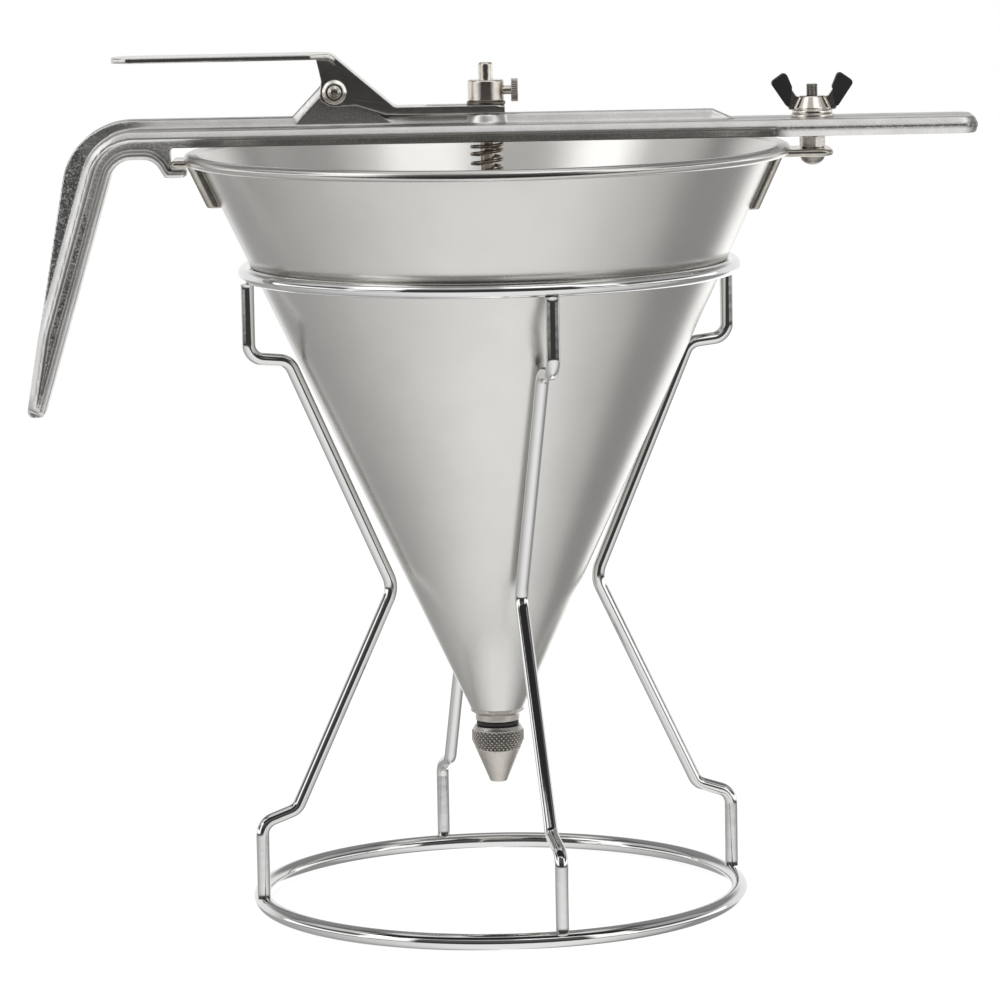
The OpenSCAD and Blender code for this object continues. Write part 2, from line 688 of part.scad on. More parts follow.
module handle_casting() color(cast_metal) {
    difference() {
        union() {
            side_plate(web_outline, web_t);
            intersection() {
                side_plate(flange_outline, bar_w);
                side_plate(web_outline, bar_w);
                translate([-big / 2, 0, 0]) rotate([90, 0, 90]) linear_extrude(big)
                    polygon(rounded_loop(grip_width_outline,
                        [0, grip_flare_r, grip_tip_r, grip_tip_r, grip_flare_r, 0]));
            }
            difference() {
                side_plate(band(grip_bead_path, grip_bead_t), grip_bead_w);
                translate([-notch_x, -bar_w / 2, lip_z1]) cube([notch_x, bar_w, bar_z0 - lip_z1]);
            }
            plan_plate(rounded_loop(
                [[paddle_x, -bar_w / 2], [bar_end_x, -bar_w / 2], [bar_end_x, bar_w / 2],
                    [paddle_x, bar_w / 2]], [0, bar_end_r, bar_end_r, 0]), paddle_z0, flange_z1);
            translate([0, 0, bar_z0]) cylinder(d = boss_d, h = bar_z1 - bar_z0);
            side_plate(ear_outline, web_t);
        }
        translate([0, 0, bar_z0 - 1]) cylinder(d = rod_d + 2 * run_gap, h = bar_z1 - bar_z0 + 2);
        translate([bolt_x, 0, bar_z0 - 1]) cylinder(d = bolt_d + 2 * weld_gap, h = bar_z1 - bar_z0 + 2);
        translate([-pivot_x, 0, pivot_z]) cross_pin(pivot_d + 2 * run_gap, -web_t, web_t);
    }
}

// Ear that carries the lever
ear_outline = rounded_loop([
        [-ear_left_x, flange_z1],
        [-pivot_x - ear_r, pivot_z + ear_r / 4],
        [-pivot_x - ear_r / 3, pivot_z + ear_r],
        [-pivot_x + ear_r / 2, pivot_z + ear_r * 0.85],
        [-ear_right_x, flange_z1]],
    [0, 2, 2, 2, 0]);

// Plan of the lever: thumb plate, slope between the cheeks, and the slotted fork
lever_plan = rounded_loop([
        [-thumb_x, -thumb_w / 2], [-slope_top_x - 7, -thumb_w / 2], [-slope_top_x + 2, -cheek_y1],
        [-slope_foot_x, -cheek_y1], [-slope_foot_x + 8, -fork_w / 2], [fork_reach, -fork_w / 2],
        [fork_reach, fork_w / 2], [-slope_foot_x + 8, fork_w / 2], [-slope_foot_x, cheek_y1],
        [-slope_top_x + 2, cheek_y1], [-slope_top_x - 7, thumb_w / 2], [-thumb_x, thumb_w / 2]],
    [8, 3, 3, 2, 2, 3, 3, 2, 2, 3, 3, 8]);

// Side view of a cheek, hung from the middle of the lever's sheet
cheek_outline = rounded_loop([
        [-slope_top_x - 5, thumb_z1 - lever_t / 2],
        [-pivot_x - 4.6, pivot_z + 4],
        [-pivot_x - 5.4, pivot_z - 3],
        [-pivot_x - 1, pivot_z - 5.2],
        [-slope_foot_x - 6, fork_z1 + 1],
        [-slope_foot_x - 2.2, fork_z1 + 1],
        [-slope_top_x, thumb_z1 - lever_t / 2]],
    [0, 5, 3, 3, 1, 0, 0]);

module lever() color(bright_steel) {
    slot_w = rod_d + 2 * move_gap;
    slot_l = slope_foot_x - 14;
    difference() {
        union() {
            intersection() {
                side_plate(band(rounded(lever_path, [0, lever_bend_r, lever_bend_r, 0]), lever_t), big);
                plan_plate(lever_plan, fork_z0 - 1, thumb_z1 + 1);
            }
            for (side = [-1, 1])
                translate([0, side * (cheek_y0 + cheek_y1) / 2, 0]) side_plate(cheek_outline, cheek_t);
        }
        translate([-slot_l, -slot_w / 2, fork_z0 - 1])
            cube([slot_l + fork_reach + 1, slot_w, lever_t + 2]);
        translate([-slot_l, 0, fork_z0 - 1]) cylinder(d = slot_w, h = lever_t + 2);
        translate([-pivot_x, 0, pivot_z]) cross_pin(pivot_d + 2 * weld_gap, -2 * cheek_y1, 2 * cheek_y1);
    }
}

// Pivot pin with its head behind, and the round nut on its front end
module pivot_pin() color(bright_steel) {
    translate([-pivot_x, 0, pivot_z]) {
        cross_pin(pivot_d, -cheek_y1 - weld_gap - pivot_head_h * 1.3, cheek_y1 + weld_gap + 0.5);
        cross_pin(pivot_head_d, cheek_y1 + weld_gap, cheek_y1 + weld_gap + pivot_head_h);
    }
}

module pivot_nut() color(bright_steel) {
    translate([-pivot_x, -cheek_y1 - weld_gap, pivot_z]) rotate([90, 0, 0])
        washer(pivot_head_d, pivot_d + 2 * weld_gap, pivot_head_h);
}

module valve_rod() color(bright_steel) {
    difference() {
        translate([0, 0, rod_z0]) cylinder(d = rod_d, h = rod_z1 - rod_z0);
        translate([0, 0, spring_pin_z]) cross_pin(spring_pin_d + 2 * weld_gap, -rod_d, rod_d);
    }
}

// Conical plug on the rod's lower end, which closes the spout's seat
module valve_plunger() color(satin_steel) {
    socket_r = rod_d / 2 + weld_gap;
    rotate_extrude() polygon([
        [0, plunger_z0],
        [plunger_tip_r, plunger_z0],
        [plunger_d / 2, plunger_cone_z(plunger_d / 2)],
        [plunger_d / 2, plunger_shoulder_z],
        [plunger_neck_r, plunger_shoulder_z + plunger_d / 2 - plunger_neck_r],
        [plunger_neck_r, plunger_z1],
        [socket_r, plunger_z1],
        [socket_r, rod_z0 - weld_gap],
        [0, rod_z0 - weld_gap]]);
}

module fork_washer() color(dark_steel) {
    translate([0, 0, fork_washer_z]) washer(fork_washer_d, rod_d + 2 * run_gap, fork_washer_t);
}

module adjusting_collar() color(bright_steel) {
    difference() {
        translate([0, 0, collar_z]) washer(collar_d, rod_d + 2 * run_gap, collar_h);
        translate([0, 0, screw_z]) rotate([0, 90, 0]) cylinder(d = screw_d + 2 * run_gap, h = collar_d);
    }
}

module thumb_screw() color(bright_steel) {
    tip_x = rod_d / 2 + weld_gap;
    head_x = collar_d / 2 + screw_neck;
    translate([0, 0, screw_z]) rotate([0, 90, 0]) {
        translate([0, 0, tip_x]) cylinder(d = screw_d, h = head_x - tip_x + screw_head_t / 2);
        translate([0, 0, head_x]) cylinder(d = screw_head_d, h = screw_head_t);
    }
}

// Centre line of the spring: a closed curl at each end, and open curls between them
function spring_height(i) = let (curl = i / spring_rings)
    spring_end_pitch * (min(curl, 1) + max(curl - spring_curls - 1, 0))
    + spring_pitch * min(max(curl - 1, 0), spring_curls);
function spring_way(i) = let (at = 360 * i / spring_rings) [cos(at), sin(at), 0];
spring_line = [for (i = [0:spring_count])
    spring_r * spring_way(i) + [0, 0, spring_z0 + spring_wire / 2 + spring_height(i)]];
spring_lean = atan(spring_pitch / (2 * PI * spring_r));
spring_points = [for (i = [0:spring_count], k = [0:spring_sides - 1]) let (
        across = spring_way(i),
        along = [-across[1], across[0], 0],
        up = cos(spring_lean) * [0, 0, 1] - sin(spring_lean) * along,
        at = 360 * (k + 0.5) / spring_sides)
    spring_line[i] + spring_wire / 2 * (cos(at) * across + sin(at) * up)];
spring_faces = concat(
    [for (i = [0:spring_count - 1], k = [0:spring_sides - 1]) let (
            a = i * spring_sides + k,
            b = i * spring_sides + (k + 1) % spring_sides)
        each [[a, b + spring_sides, b], [a, a + spring_sides, b + spring_sides]]],
    [for (k = [1:spring_sides - 2]) [0, k, k + 1]],
    [for (k = [1:spring_sides - 2]) let (e = spring_count * spring_sides) [e, e + k + 1, e + k]]);

// Least gap between one curl's wire and the next, measured on the centre line's points
spring_least_gap = min([for (i = [0:spring_count], j = [i + spring_rings / 2:spring_count])
    norm(spring_line[j] - spring_line[i])]) - spring_wire;

module return_spring() color(bright_steel) {
    echo(spring_least_gap = spring_least_gap);
    polyhedron(spring_points, spring_faces);
}

module spring_washer() color(bright_steel) {
    translate([0, 0, spring_washer_z])
        washer(spring_washer_d, rod_d + 2 * weld_gap, spring_washer_t);
}

module spring_pin() color(bright_steel) {
    translate([0, 0, spring_pin_z]) cross_pin(spring_pin_d, -spring_d / 2, spring_d / 2);
}

// Heights of the clamp's stack on the bar
clamp_washer_z = flange_z1;
wing_z0 = clamp_washer_z + clamp_washer_t;

module clamp_bolt() color(bright_steel) {
    dome_r = (bolt_head_d * bolt_head_d / 4 + bolt_head_h * bolt_head_h) / (2 * bolt_head_h);
    translate([bolt_x, 0, 0]) {
        translate([0, 0, tab_z0 - bolt_head_h / 2])
            cylinder(d = bolt_d, h = wing_z0 + wing_body_h + bolt_proud - tab_z0 + bolt_head_h / 2);
        intersection() {
            translate([0, 0, tab_z0 - bolt_head_h + dome_r]) sphere(dome_r);
            translate([0, 0, tab_z0 - bolt_head_h]) cylinder(d = 2 * bolt_head_d, h = bolt_head_h);
        }
    }
}

module lock_nut() color(bright_steel) {
    translate([bolt_x, 0, tab_z1]) difference() {
        cylinder(d = nut_flats / cos(30), h = nut_h, $fn = 6);
        translate([0, 0, -1]) cylinder(d = bolt_d + 2 * weld_gap, h = nut_h + 2);
    }
}

module lock_washer() color(bright_steel) {
    translate([bolt_x, 0, tab_z1 + nut_h]) washer(lock_washer_d, bolt_d + 2 * weld_gap, lock_washer_t);
}

module clamp_washer() color(bright_steel) {
    translate([bolt_x, 0, clamp_washer_z]) washer(clamp_washer_d, bolt_d + 2 * weld_gap, clamp_washer_t);
}

// Side views of one wing and of its cap, from the bolt's axis and the nut's foot
wing_outline = [
    [wing_top_d / 3, 1.2], [wing_foot_d / 2 + 1, 1.4], [wing_reach - 1.6, wing_rise * 0.72],
    [wing_reach * 0.66, wing_rise - 2.4], [wing_top_d / 2 + 1, wing_body_h],
    [wing_top_d / 3, wing_body_h - 0.6]];
cap_outline = rounded_loop([
        [wing_foot_d / 2 + 1, 1.2], [wing_reach, wing_rise * 0.74], [wing_reach * 0.63, wing_rise],
        [wing_top_d / 2 + 2.4, wing_rise * 0.63]], [0.8, 1.4, 1.4, 1]);

module wings(outline, t) {
    side_plate(outline, t);
    side_plate(mirrored(outline), t);
}

module wing_nut() color(bright_steel) {
    foot_h = 1.4;
    translate([bolt_x, 0, wing_z0]) difference() {
        union() {
            cylinder(d = wing_foot_d, h = foot_h);
            translate([0, 0, foot_h])
                cylinder(d1 = wing_foot_d - 1, d2 = wing_top_d, h = wing_body_h - foot_h);
            wings(wing_outline, wing_t);
        }
        translate([0, 0, -1]) cylinder(d = bolt_d + 2 * run_gap, h = wing_body_h + 2);
    }
}

module wing_caps() color(black) {
    translate([bolt_x, 0, wing_z0]) difference() {
        wings(cap_outline, wing_cap_t);
        wings(wing_outline, wing_t);
        cylinder(d1 = wing_foot_d, d2 = wing_top_d, h = wing_body_h);
    }
}

stand_base_ring();
stand_seat_ring();
stand_leg(0);  // stand_leg_1
stand_leg(1);  // stand_leg_2
stand_leg(2);  // stand_leg_3
stand_leg(3);  // stand_leg_4
funnel_cone();
hook_bracket();
bolt_bracket();
outlet_spout();
nozzle_seal();
nozzle();
handle_casting();
clamp_bolt();
lock_nut();
lock_washer();
clamp_washer();
wing_nut();
wing_caps();
lever();
pivot_pin();
pivot_nut();
valve_rod();
valve_plunger();
fork_washer();
adjusting_collar();
thumb_screw();
return_spring();
spring_washer();
spring_pin();
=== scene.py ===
import json
from math import asin, atan2, cos, dist, hypot, pi, radians, sin, sqrt, tan

import bmesh
import bpy
import numpy as np
from mathutils import Matrix, Vector

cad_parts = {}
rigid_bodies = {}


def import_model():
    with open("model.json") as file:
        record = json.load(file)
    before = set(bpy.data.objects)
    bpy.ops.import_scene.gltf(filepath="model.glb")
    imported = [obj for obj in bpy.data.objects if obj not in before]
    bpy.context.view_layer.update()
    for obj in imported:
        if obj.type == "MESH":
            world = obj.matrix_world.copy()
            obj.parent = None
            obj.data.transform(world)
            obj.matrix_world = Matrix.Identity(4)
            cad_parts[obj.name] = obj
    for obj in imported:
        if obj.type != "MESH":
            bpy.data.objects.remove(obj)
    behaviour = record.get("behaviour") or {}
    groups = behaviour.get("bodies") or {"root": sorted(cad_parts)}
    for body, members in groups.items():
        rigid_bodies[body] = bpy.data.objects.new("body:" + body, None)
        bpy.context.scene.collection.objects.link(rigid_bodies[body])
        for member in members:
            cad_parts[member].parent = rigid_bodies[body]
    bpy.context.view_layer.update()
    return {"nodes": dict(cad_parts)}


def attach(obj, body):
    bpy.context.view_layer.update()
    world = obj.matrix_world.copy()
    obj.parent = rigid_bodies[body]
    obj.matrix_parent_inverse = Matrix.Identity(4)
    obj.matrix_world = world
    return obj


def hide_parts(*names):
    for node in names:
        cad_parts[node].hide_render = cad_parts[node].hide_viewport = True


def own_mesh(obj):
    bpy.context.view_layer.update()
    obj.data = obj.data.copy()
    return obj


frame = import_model()
scene = bpy.context.scene
mm = 0.001
print("frame loaded with", len(frame["nodes"]), "nodes")


# A piece's sizes: a dictionary whose values can also be read as s.name
class Sizes(dict):
    __getattr__ = dict.__getitem__


def operator(operation):  # an operator and its reflected form, as in 1 - mask
    def forward(self, other):
        return self.maths(operation, self, other)

    def reflected(self, other):
        return self.maths(operation, other, self)

    return forward, reflected


# A socket that can be used in plain expressions
class Signal:
    def __init__(self, tree, socket):
        self.tree = tree
        self.socket = socket

    def maths(self, operation, *values):
        return self.tree.node("ShaderNodeMath", {"operation": operation}, dict(enumerate(values)))

    __add__, __radd__ = operator("ADD")
    __sub__, __rsub__ = operator("SUBTRACT")
    __mul__, __rmul__ = operator("MULTIPLY")
    __truediv__, __rtruediv__ = operator("DIVIDE")

    def __neg__(self):
        return self.maths("MULTIPLY", self, -1.0)

    def __abs__(self):
        return self.maths("ABSOLUTE", self)

    def rise(self, low, high):  # soft step from 0 to 1 between two values
        return self.tree.node("ShaderNodeMapRange", {"interpolation_type": "SMOOTHSTEP"},
                              {"Value": self, "From Min": low, "From Max": high, "To Min": 0.0, "To Max": 1.0})

    def between(self, low, high, soft):  # 1 from low to high, with soft ends
        return self.rise(low - soft, low + soft) * (1 - self.rise(high - soft, high + soft))


# Any node tree: a node is made from its type, its settings and its sockets
class Tree:
    def __init__(self, tree):
        self.tree = tree
        tree.nodes.clear()

    def node(self, kind, settings=None, sockets=None, output=0):
        made = self.tree.nodes.new(kind)
        for key, value in (settings or {}).items():
            setattr(made, key, value)
        for key, value in (sockets or {}).items():
            if isinstance(value, Signal):
                self.tree.links.new(value.socket, made.inputs[key])
            else:
                made.inputs[key].default_value = value
        if isinstance(output, tuple):
            return tuple(Signal(self, made.outputs[name]) for name in output)
        return Signal(self, made.outputs[output]) if made.outputs else None


class Finish(Tree):
    def __init__(self, owner):  # a material or the world
        owner.use_nodes = True
        super().__init__(owner.node_tree)
        self.owner = owner

    def noise(self, spot, scale, detail=2.0, roughness=0.5):
        return self.node("ShaderNodeTexNoise", {"noise_dimensions": "3D"},
                         {"Vector": spot, "Scale": scale, "Detail": detail, "Roughness": roughness})

    def stretched(self, spot, scale):
        return self.node("ShaderNodeMapping", {}, {"Vector": spot, "Scale": scale})

    def marked(self, name):  # a value that a mesh holds at its points
        return self.node("ShaderNodeAttribute", {"attribute_name": name}, output="Fac")

    def tint(self, share, one, other):  # colour one where share is 0, colour other where it is 1
        one, other = ((*colour, 1) if isinstance(colour, tuple) else colour for colour in (one, other))
        return self.node("ShaderNodeMix", {"data_type": "RGBA"}, {0: share, 6: one, 7: other}, 2)

    def bump(self, height, strength, depth=0.0002):
        return self.node("ShaderNodeBump", {}, {"Height": height, "Strength": strength, "Distance": depth})

    def closed(self, **sockets):  # baseColor becomes the socket Base Color, and so on
        def label(key):
            return key[0].upper() + "".join(" " + c if c.isupper() else c for c in key[1:])

        named = {label(key): value for key, value in sockets.items()}
        shader = self.node("ShaderNodeBsdfPrincipled", {}, named)
        self.node("ShaderNodeOutputMaterial", {}, {"Surface": shader})
        return self.owner


def newFinish(name):  # a finish to fill, and the places on its piece
    f = Finish(bpy.data.materials.new(name))
    return f, f.node("ShaderNodeTexCoord", output="Object")


def linked(name, data):  # a new object in the scene
    made = bpy.data.objects.new(name, data)
    scene.collection.objects.link(made)
    return made


# Camera: fitted to the rim, the two stand rings and the cone's edges
cameraPlace = Sizes(distance=1.8, height=0.3957, pitch=8.039, yaw=0.072, roll=-1.071, lens=187.11, sensor=36.0)


def makeCamera(s):
    pitch, yaw, roll = radians(s.pitch), radians(s.yaw), radians(s.roll)
    ahead = Vector((sin(yaw) * cos(pitch), cos(yaw) * cos(pitch), -sin(pitch)))
    right = Vector((cos(yaw), -sin(yaw), 0.0))
    up = right.cross(ahead)
    across = cos(roll) * right + sin(roll) * up
    upward = -sin(roll) * right + cos(roll) * up
    data = bpy.data.cameras.new("photoCamera")
    data.sensor_width = s.sensor
    data.lens = s.lens
    camera = linked("photoCamera", data)
    turn = Matrix((across, upward, -ahead)).transposed().to_4x4()
    camera.matrix_world = Matrix.Translation((0.0, -s.distance, s.height)) @ turn
    scene.camera = camera


makeCamera(cameraPlace)
print("camera set")


# Finishes
def chromedWire():
    f, spot = newFinish("chromedWire")
    haze = f.noise(spot, 28.0, 3.0)
    ripple = f.noise(spot, 160.0)
    return f.closed(baseColor=f.tint(haze, (0.76, 0.76, 0.765), (0.67, 0.665, 0.65)), metallic=1.0,
                    roughness=0.03 + 0.06 * haze, normal=f.bump(ripple, 0.06, 0.0004))


def satinSheet():
    f, spot = newFinish("satinSheet")
    around = f.node("ShaderNodeUVMap", {"uv_map": "turnedMap"})
    cloud = f.noise(spot, 14.0, 4.0, 0.6)
    brushed = f.noise(f.stretched(around, (26.0, 240.0, 1.0)), 9.0, 3.0, 0.65)
    shade = f.tint(cloud.rise(0.3, 0.7), (0.70, 0.685, 0.655), (0.64, 0.625, 0.60))
    return f.closed(baseColor=shade, metallic=1.0,
                    roughness=0.185 + 0.06 * cloud + 0.035 * brushed, normal=f.bump(brushed, 0.05))


def turnedSteel(name, light, dark, smooth):
    f, spot = newFinish(name)
    around = f.node("ShaderNodeUVMap", {"uv_map": "turnedMap"})
    cuts = f.noise(f.stretched(around, (2.0, 60.0, 1.0)), 12.0)
    stain = f.noise(spot, 120.0, 3.0, 0.6)
    clean = f.tint(stain.rise(0.32, 0.68), light, dark)
    # Painted shade: the base colour turns near black down in the knurls' grooves
    grooveShade = 0.8 * f.marked("groove").rise(0.25, 0.8)  # only in the knurls
    return f.closed(baseColor=f.tint(grooveShade, clean, (0.09, 0.085, 0.075)), metallic=1.0,
                    roughness=smooth + 0.08 * cuts + 0.05 * stain, normal=f.bump(cuts, 0.12))


def pressedSteel(name, light, dark, smooth):
    f, spot = newFinish(name)
    wipe = f.noise(f.stretched(spot, (40.0, 260.0, 260.0)), 1.0, 4.0, 0.6)
    cloud = f.noise(spot, 260.0, 4.0, 0.6)
    scratch = f.noise(f.stretched(spot, (300.0, 2400.0, 2400.0)), 1.0)
    return f.closed(baseColor=f.tint(cloud.rise(0.3, 0.7), light, dark), metallic=1.0,
                    roughness=smooth + 0.10 * wipe + 0.05 * cloud, normal=f.bump(scratch, 0.06))


# Sand-cast skin on the webs, smoother bands, and edges rubbed bright; the skin is painted darker on the grip's
# webs as shade, and the bright edges are also a painted highlight
def castMetal():
    f, spot = newFinish("castMetal")
    skinAndShade = f.marked("castSkinAndShade")
    grain = f.noise(spot, 1600.0, 3.0, 0.62)
    pits = f.node("ShaderNodeTexVoronoi", {"feature": "F1"}, {"Vector": spot, "Scale": 820.0}, "Distance")
    cloud = f.noise(spot, 90.0, 3.0, 0.6)
    # The rubbed edges are wear, and their lighter colour is also a painted highlight along the convex edges
    rub = f.marked("edgeWearAndHighlight") * (0.6 + 0.6 * cloud)
    fleck = grain.rise(0.44, 0.68)
    bare = f.tint(cloud.rise(0.25, 0.75), (0.80, 0.79, 0.775), (0.70, 0.69, 0.675))
    grained = f.tint(0.3 * fleck, bare, (0.52, 0.515, 0.505))
    cast = f.tint(fleck, (0.15, 0.15, 0.148), (0.60, 0.595, 0.58))
    worn = f.tint(rub, f.tint(skinAndShade, grained, cast), (0.86, 0.855, 0.84))
    height = grain * 0.7 + pits * 0.5
    return f.closed(baseColor=worn, metallic=1.0,
                    roughness=(0.32 + 0.06 * cloud + 0.03 * skinAndShade) * (1 - 0.45 * rub),
                    normal=f.bump(height * (0.14 + 0.86 * skinAndShade) * (1 - 0.8 * rub), 0.4, 0.0005))


def blackPlastic():
    f, spot = newFinish("blackPlastic")
    grain = f.noise(spot, 1800.0)
    rub = f.noise(spot, 170.0, 3.0)
    return f.closed(baseColor=f.tint(rub, (0.005, 0.005, 0.0055), (0.014, 0.0135, 0.013)), metallic=0.0,
                    roughness=0.50 + 0.16 * rub, normal=f.bump(grain, 0.10))


def blackRubber():
    f, spot = newFinish("blackRubber")
    grain = f.noise(spot, 1500.0, 3.0)
    return f.closed(baseColor=f.tint(grain, (0.008, 0.008, 0.008), (0.022, 0.021, 0.020)), metallic=0.0,
                    roughness=0.55 + 0.15 * grain, normal=f.bump(grain, 0.2))


wireFinish = chromedWire()
sheetFinish = satinSheet()
nozzleFinish = turnedSteel("bluntSteel", (0.62, 0.59, 0.55), (0.54, 0.51, 0.47), 0.25)
rodFinish = turnedSteel("warmSteel", (0.80, 0.75, 0.69), (0.68, 0.62, 0.56), 0.10)
# Painted reflection: the spring's steel is tinted dark brown for the warm surroundings it mirrors
springFinish = turnedSteel("springWire", (0.42, 0.36, 0.30), (0.32, 0.27, 0.22), 0.16)
# Painted shade: the bolt's steel is darker all over, because its domed head sits in shade under the tab
shadedBoltFinish = turnedSteel("shadedBoltSteel", (0.33, 0.31, 0.285), (0.26, 0.24, 0.22), 0.16)
brightFinish = turnedSteel("nickelSteel", (0.84, 0.81, 0.76), (0.73, 0.69, 0.63), 0.10)
# Painted shade: near-black steel for the thin washers, standing in for the shadow lines under the collar and
# between the nut and the bar
shadowFinish = turnedSteel("shadowSteel", (0.20, 0.18, 0.16), (0.12, 0.11, 0.10), 0.24)
leverFinish = pressedSteel("pressedSteel", (0.74, 0.72, 0.69), (0.60, 0.58, 0.55), 0.12)
bracketFinish = pressedSteel("weldedSteel", (0.54, 0.515, 0.465), (0.40, 0.375, 0.33), 0.11)
castFinish = castMetal()
plasticFinish = blackPlastic()
rubberFinish = blackRubber()
print("finishes made")


# Corners of a flat path cut to arcs; a point is (across, up) or (across, up, own radius)
def arced(points, radius, steps=6, closed=True):
    out = []
    count = len(points)
    for i, point in enumerate(points):
        here = Vector(point[:2])
        own = point[2] if len(point) > 2 else radius
        if own <= 0 or (not closed and i in (0, count - 1)):
            out.append(tuple(here))
            continue
        back = Vector(points[i - 1][:2]) - here
        ahead = Vector(points[(i + 1) % count][:2]) - here
        half = back.angle(ahead, pi) / 2
        if half > pi / 2 - 0.01:  # nearly straight
            out.append(tuple(here))
            continue
        trim = min(own / tan(half), 0.46 * back.length, 0.46 * ahead.length)
        reach = trim * tan(half)
        middle = here + (back.normalized() + ahead.normalized()).normalized() * (reach / sin(half))
        first = here + back.normalized() * trim - middle
        sweep = first.angle_signed(here + ahead.normalized() * trim - middle)
        for k in range(steps + 1):
            spoke = Matrix.Rotation(-sweep * k / steps, 2) @ first
            out.append(tuple(middle + spoke))
    return out


# Close to the ends of each long straight run, a point keeps its shading flat
def supported(points, longRun=0.45, fromEnd=0.16):
    out = []
    for point, after in zip(points, points[1:] + points[:1]):
        out.append(point)
        here, there = Vector(point), Vector(after)
        span = (there - here).length
        if span > longRun:
            inset = min(fromEnd / span, 0.25)
            out += [tuple(here.lerp(there, inset)), tuple(here.lerp(there, 1 - inset))]
    return out


def cuts(a, b, parts):  # the points that cut a run into equal parts
    return [(a[0] + (b[0] - a[0]) * k / parts, a[1] + (b[1] - a[1]) * k / parts) for k in range(1, parts)]


def finely(path, step):  # an open path with more points along its runs
    out = [path[0]]
    for a, b in zip(path, path[1:]):
        out += [*cuts(a, b, max(1, round(dist(a, b) / step))), b]
    return out


def closeRows(low, high, beyond, step):  # rows every step mm on the outside between two heights
    def rows(path):
        out = []
        for a, b in zip(path, path[1:] + path[:1]):
            added = cuts(a, b, max(1, int(dist(a, b) / step)))
            out += [a, *(p for p in added if low <= p[1] <= high and p[0] > beyond)]
        return out
    return rows


def besides(path, shifts, closed=False):  # a path moved sideways, to the left of its way
    out = []
    last = len(path) - 1
    for i, p in enumerate(path):
        before = path[i - 1] if closed or i else p
        after = path[(i + 1) % len(path)] if closed or i < last else p
        way = (Vector(after) - Vector(before)).normalized()
        out.append((p[0] - way.y * shifts[i], p[1] + way.x * shifts[i]))
    return out


def fullTurn(count):  # angles all round
    return [2 * pi * k / count for k in range(count)]


def meshFrom(name, verts, faces, finish):
    mesh = bpy.data.meshes.new(name)
    mesh.from_pydata(verts, [], faces)
    mesh.materials.append(finish)
    return mesh


def merged(mesh, gap, outward):  # points closer than gap become one
    bm = bmesh.new()
    bm.from_mesh(mesh)
    bmesh.ops.remove_doubles(bm, verts=bm.verts, dist=gap)
    if outward:
        bmesh.ops.recalc_face_normals(bm, faces=bm.faces)
    bm.to_mesh(mesh)
    bm.free()
    return mesh


def settle(mesh, sharpAngle=None):
    merged(mesh, 1e-7, outward=True).shade_smooth()
    if sharpAngle:
        mesh.set_sharp_from_angle(angle=radians(sharpAngle))
    return mesh


# A closed profile (radius, height) in mm, turned about the Z axis; flats limits it to a hexagon
def turned(name, profile, finish, segments=96, flats=None, rows=None, turn=0.0):
    path = supported(profile)
    if rows:
        path = rows(path)
    length = [0.0]
    for a, b in zip(path, path[1:] + path[:1]):
        length.append(length[-1] + dist(a, b))
    verts = []
    for r, z in path:
        for a in fullTurn(segments):
            reach = r
            if flats:
                side = (a + pi / 6) % (pi / 3) - pi / 6
                reach = min(r, flats / 2 / cos(side))
            a += radians(turn)
            verts.append((reach * mm * cos(a), reach * mm * sin(a), z * mm))
    faces, maps = [], []
    for i in range(len(path)):
        j = (i + 1) % len(path)
        if path[i][0] < 1e-6 and path[j][0] < 1e-6:
            continue  # this run lies on the axis
        low, high = length[i] / 10, length[i + 1] / 10  # the map counts 10 mm along the profile as one
        for k in range(segments):
            n = (k + 1) % segments
            faces.append((i * segments + k, i * segments + n, j * segments + n, j * segments + k))
            u0, u1 = k / segments, (k + 1) / segments
            maps += [(u0, low), (u1, low), (u1, high), (u0, high)]
    mesh = meshFrom(name, verts, faces, finish)
    layer = mesh.uv_layers.new(name="turnedMap")
    layer.data.foreach_set("uv", np.array(maps, dtype=np.float32).ravel())
    return settle(mesh, 40 if flats else None)


def stood(mesh, x, y, z, axis="Z"):  # moves a turned mesh to its place, with its axis along X, Y or Z
    angle, about = {"X": (pi / 2, "Y"), "Y": (-pi / 2, "X"), "Z": (0.0, "Z")}[axis]
    mesh.transform(Matrix.Translation((x * mm, y * mm, z * mm)) @ Matrix.Rotation(angle, 4, about))
    return mesh


def place(name, mesh, body, slot, *cadNodes):
    piece = linked(name, mesh)
    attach(piece, body)
    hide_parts(*cadNodes)
    return piece


def turnedPiece(name, profile, finish, segments, body, slot, node, spot=(0, 0, 0), axis="Z", **shape):
    place(name, stood(turned(name, profile, finish, segments, **shape), *spot, axis), body, slot, node)


def plain(name, source):  # what an object's modifiers make of it, as a mesh of its own
    graph = bpy.context.evaluated_depsgraph_get()
    made = bpy.data.meshes.new_from_object(source.evaluated_get(graph), depsgraph=graph)
    made.name = name
    bpy.data.objects.remove(source)
    return made


# A mesh after some modifiers; each step is a modifier's type and its settings
def applied(name, mesh, *steps):
    source = linked(name + "Source", mesh)
    for kind, settings in steps:
        modifier = source.modifiers.new(kind.lower(), kind)
        for key, value in settings.items():
            setattr(modifier, key, value)
    return plain(name, source)


def dressed(mesh, finish):
    mesh.materials.clear()
    mesh.materials.append(finish)
    return mesh


def cadCopy(node):  # a CAD solid's mesh with its triangles joined
    mesh = merged(frame["nodes"][node].data.copy(), 2e-6, outward=False)
    if "custom_normal" in mesh.attributes:
        mesh.attributes.remove(mesh.attributes["custom_normal"])
    return mesh


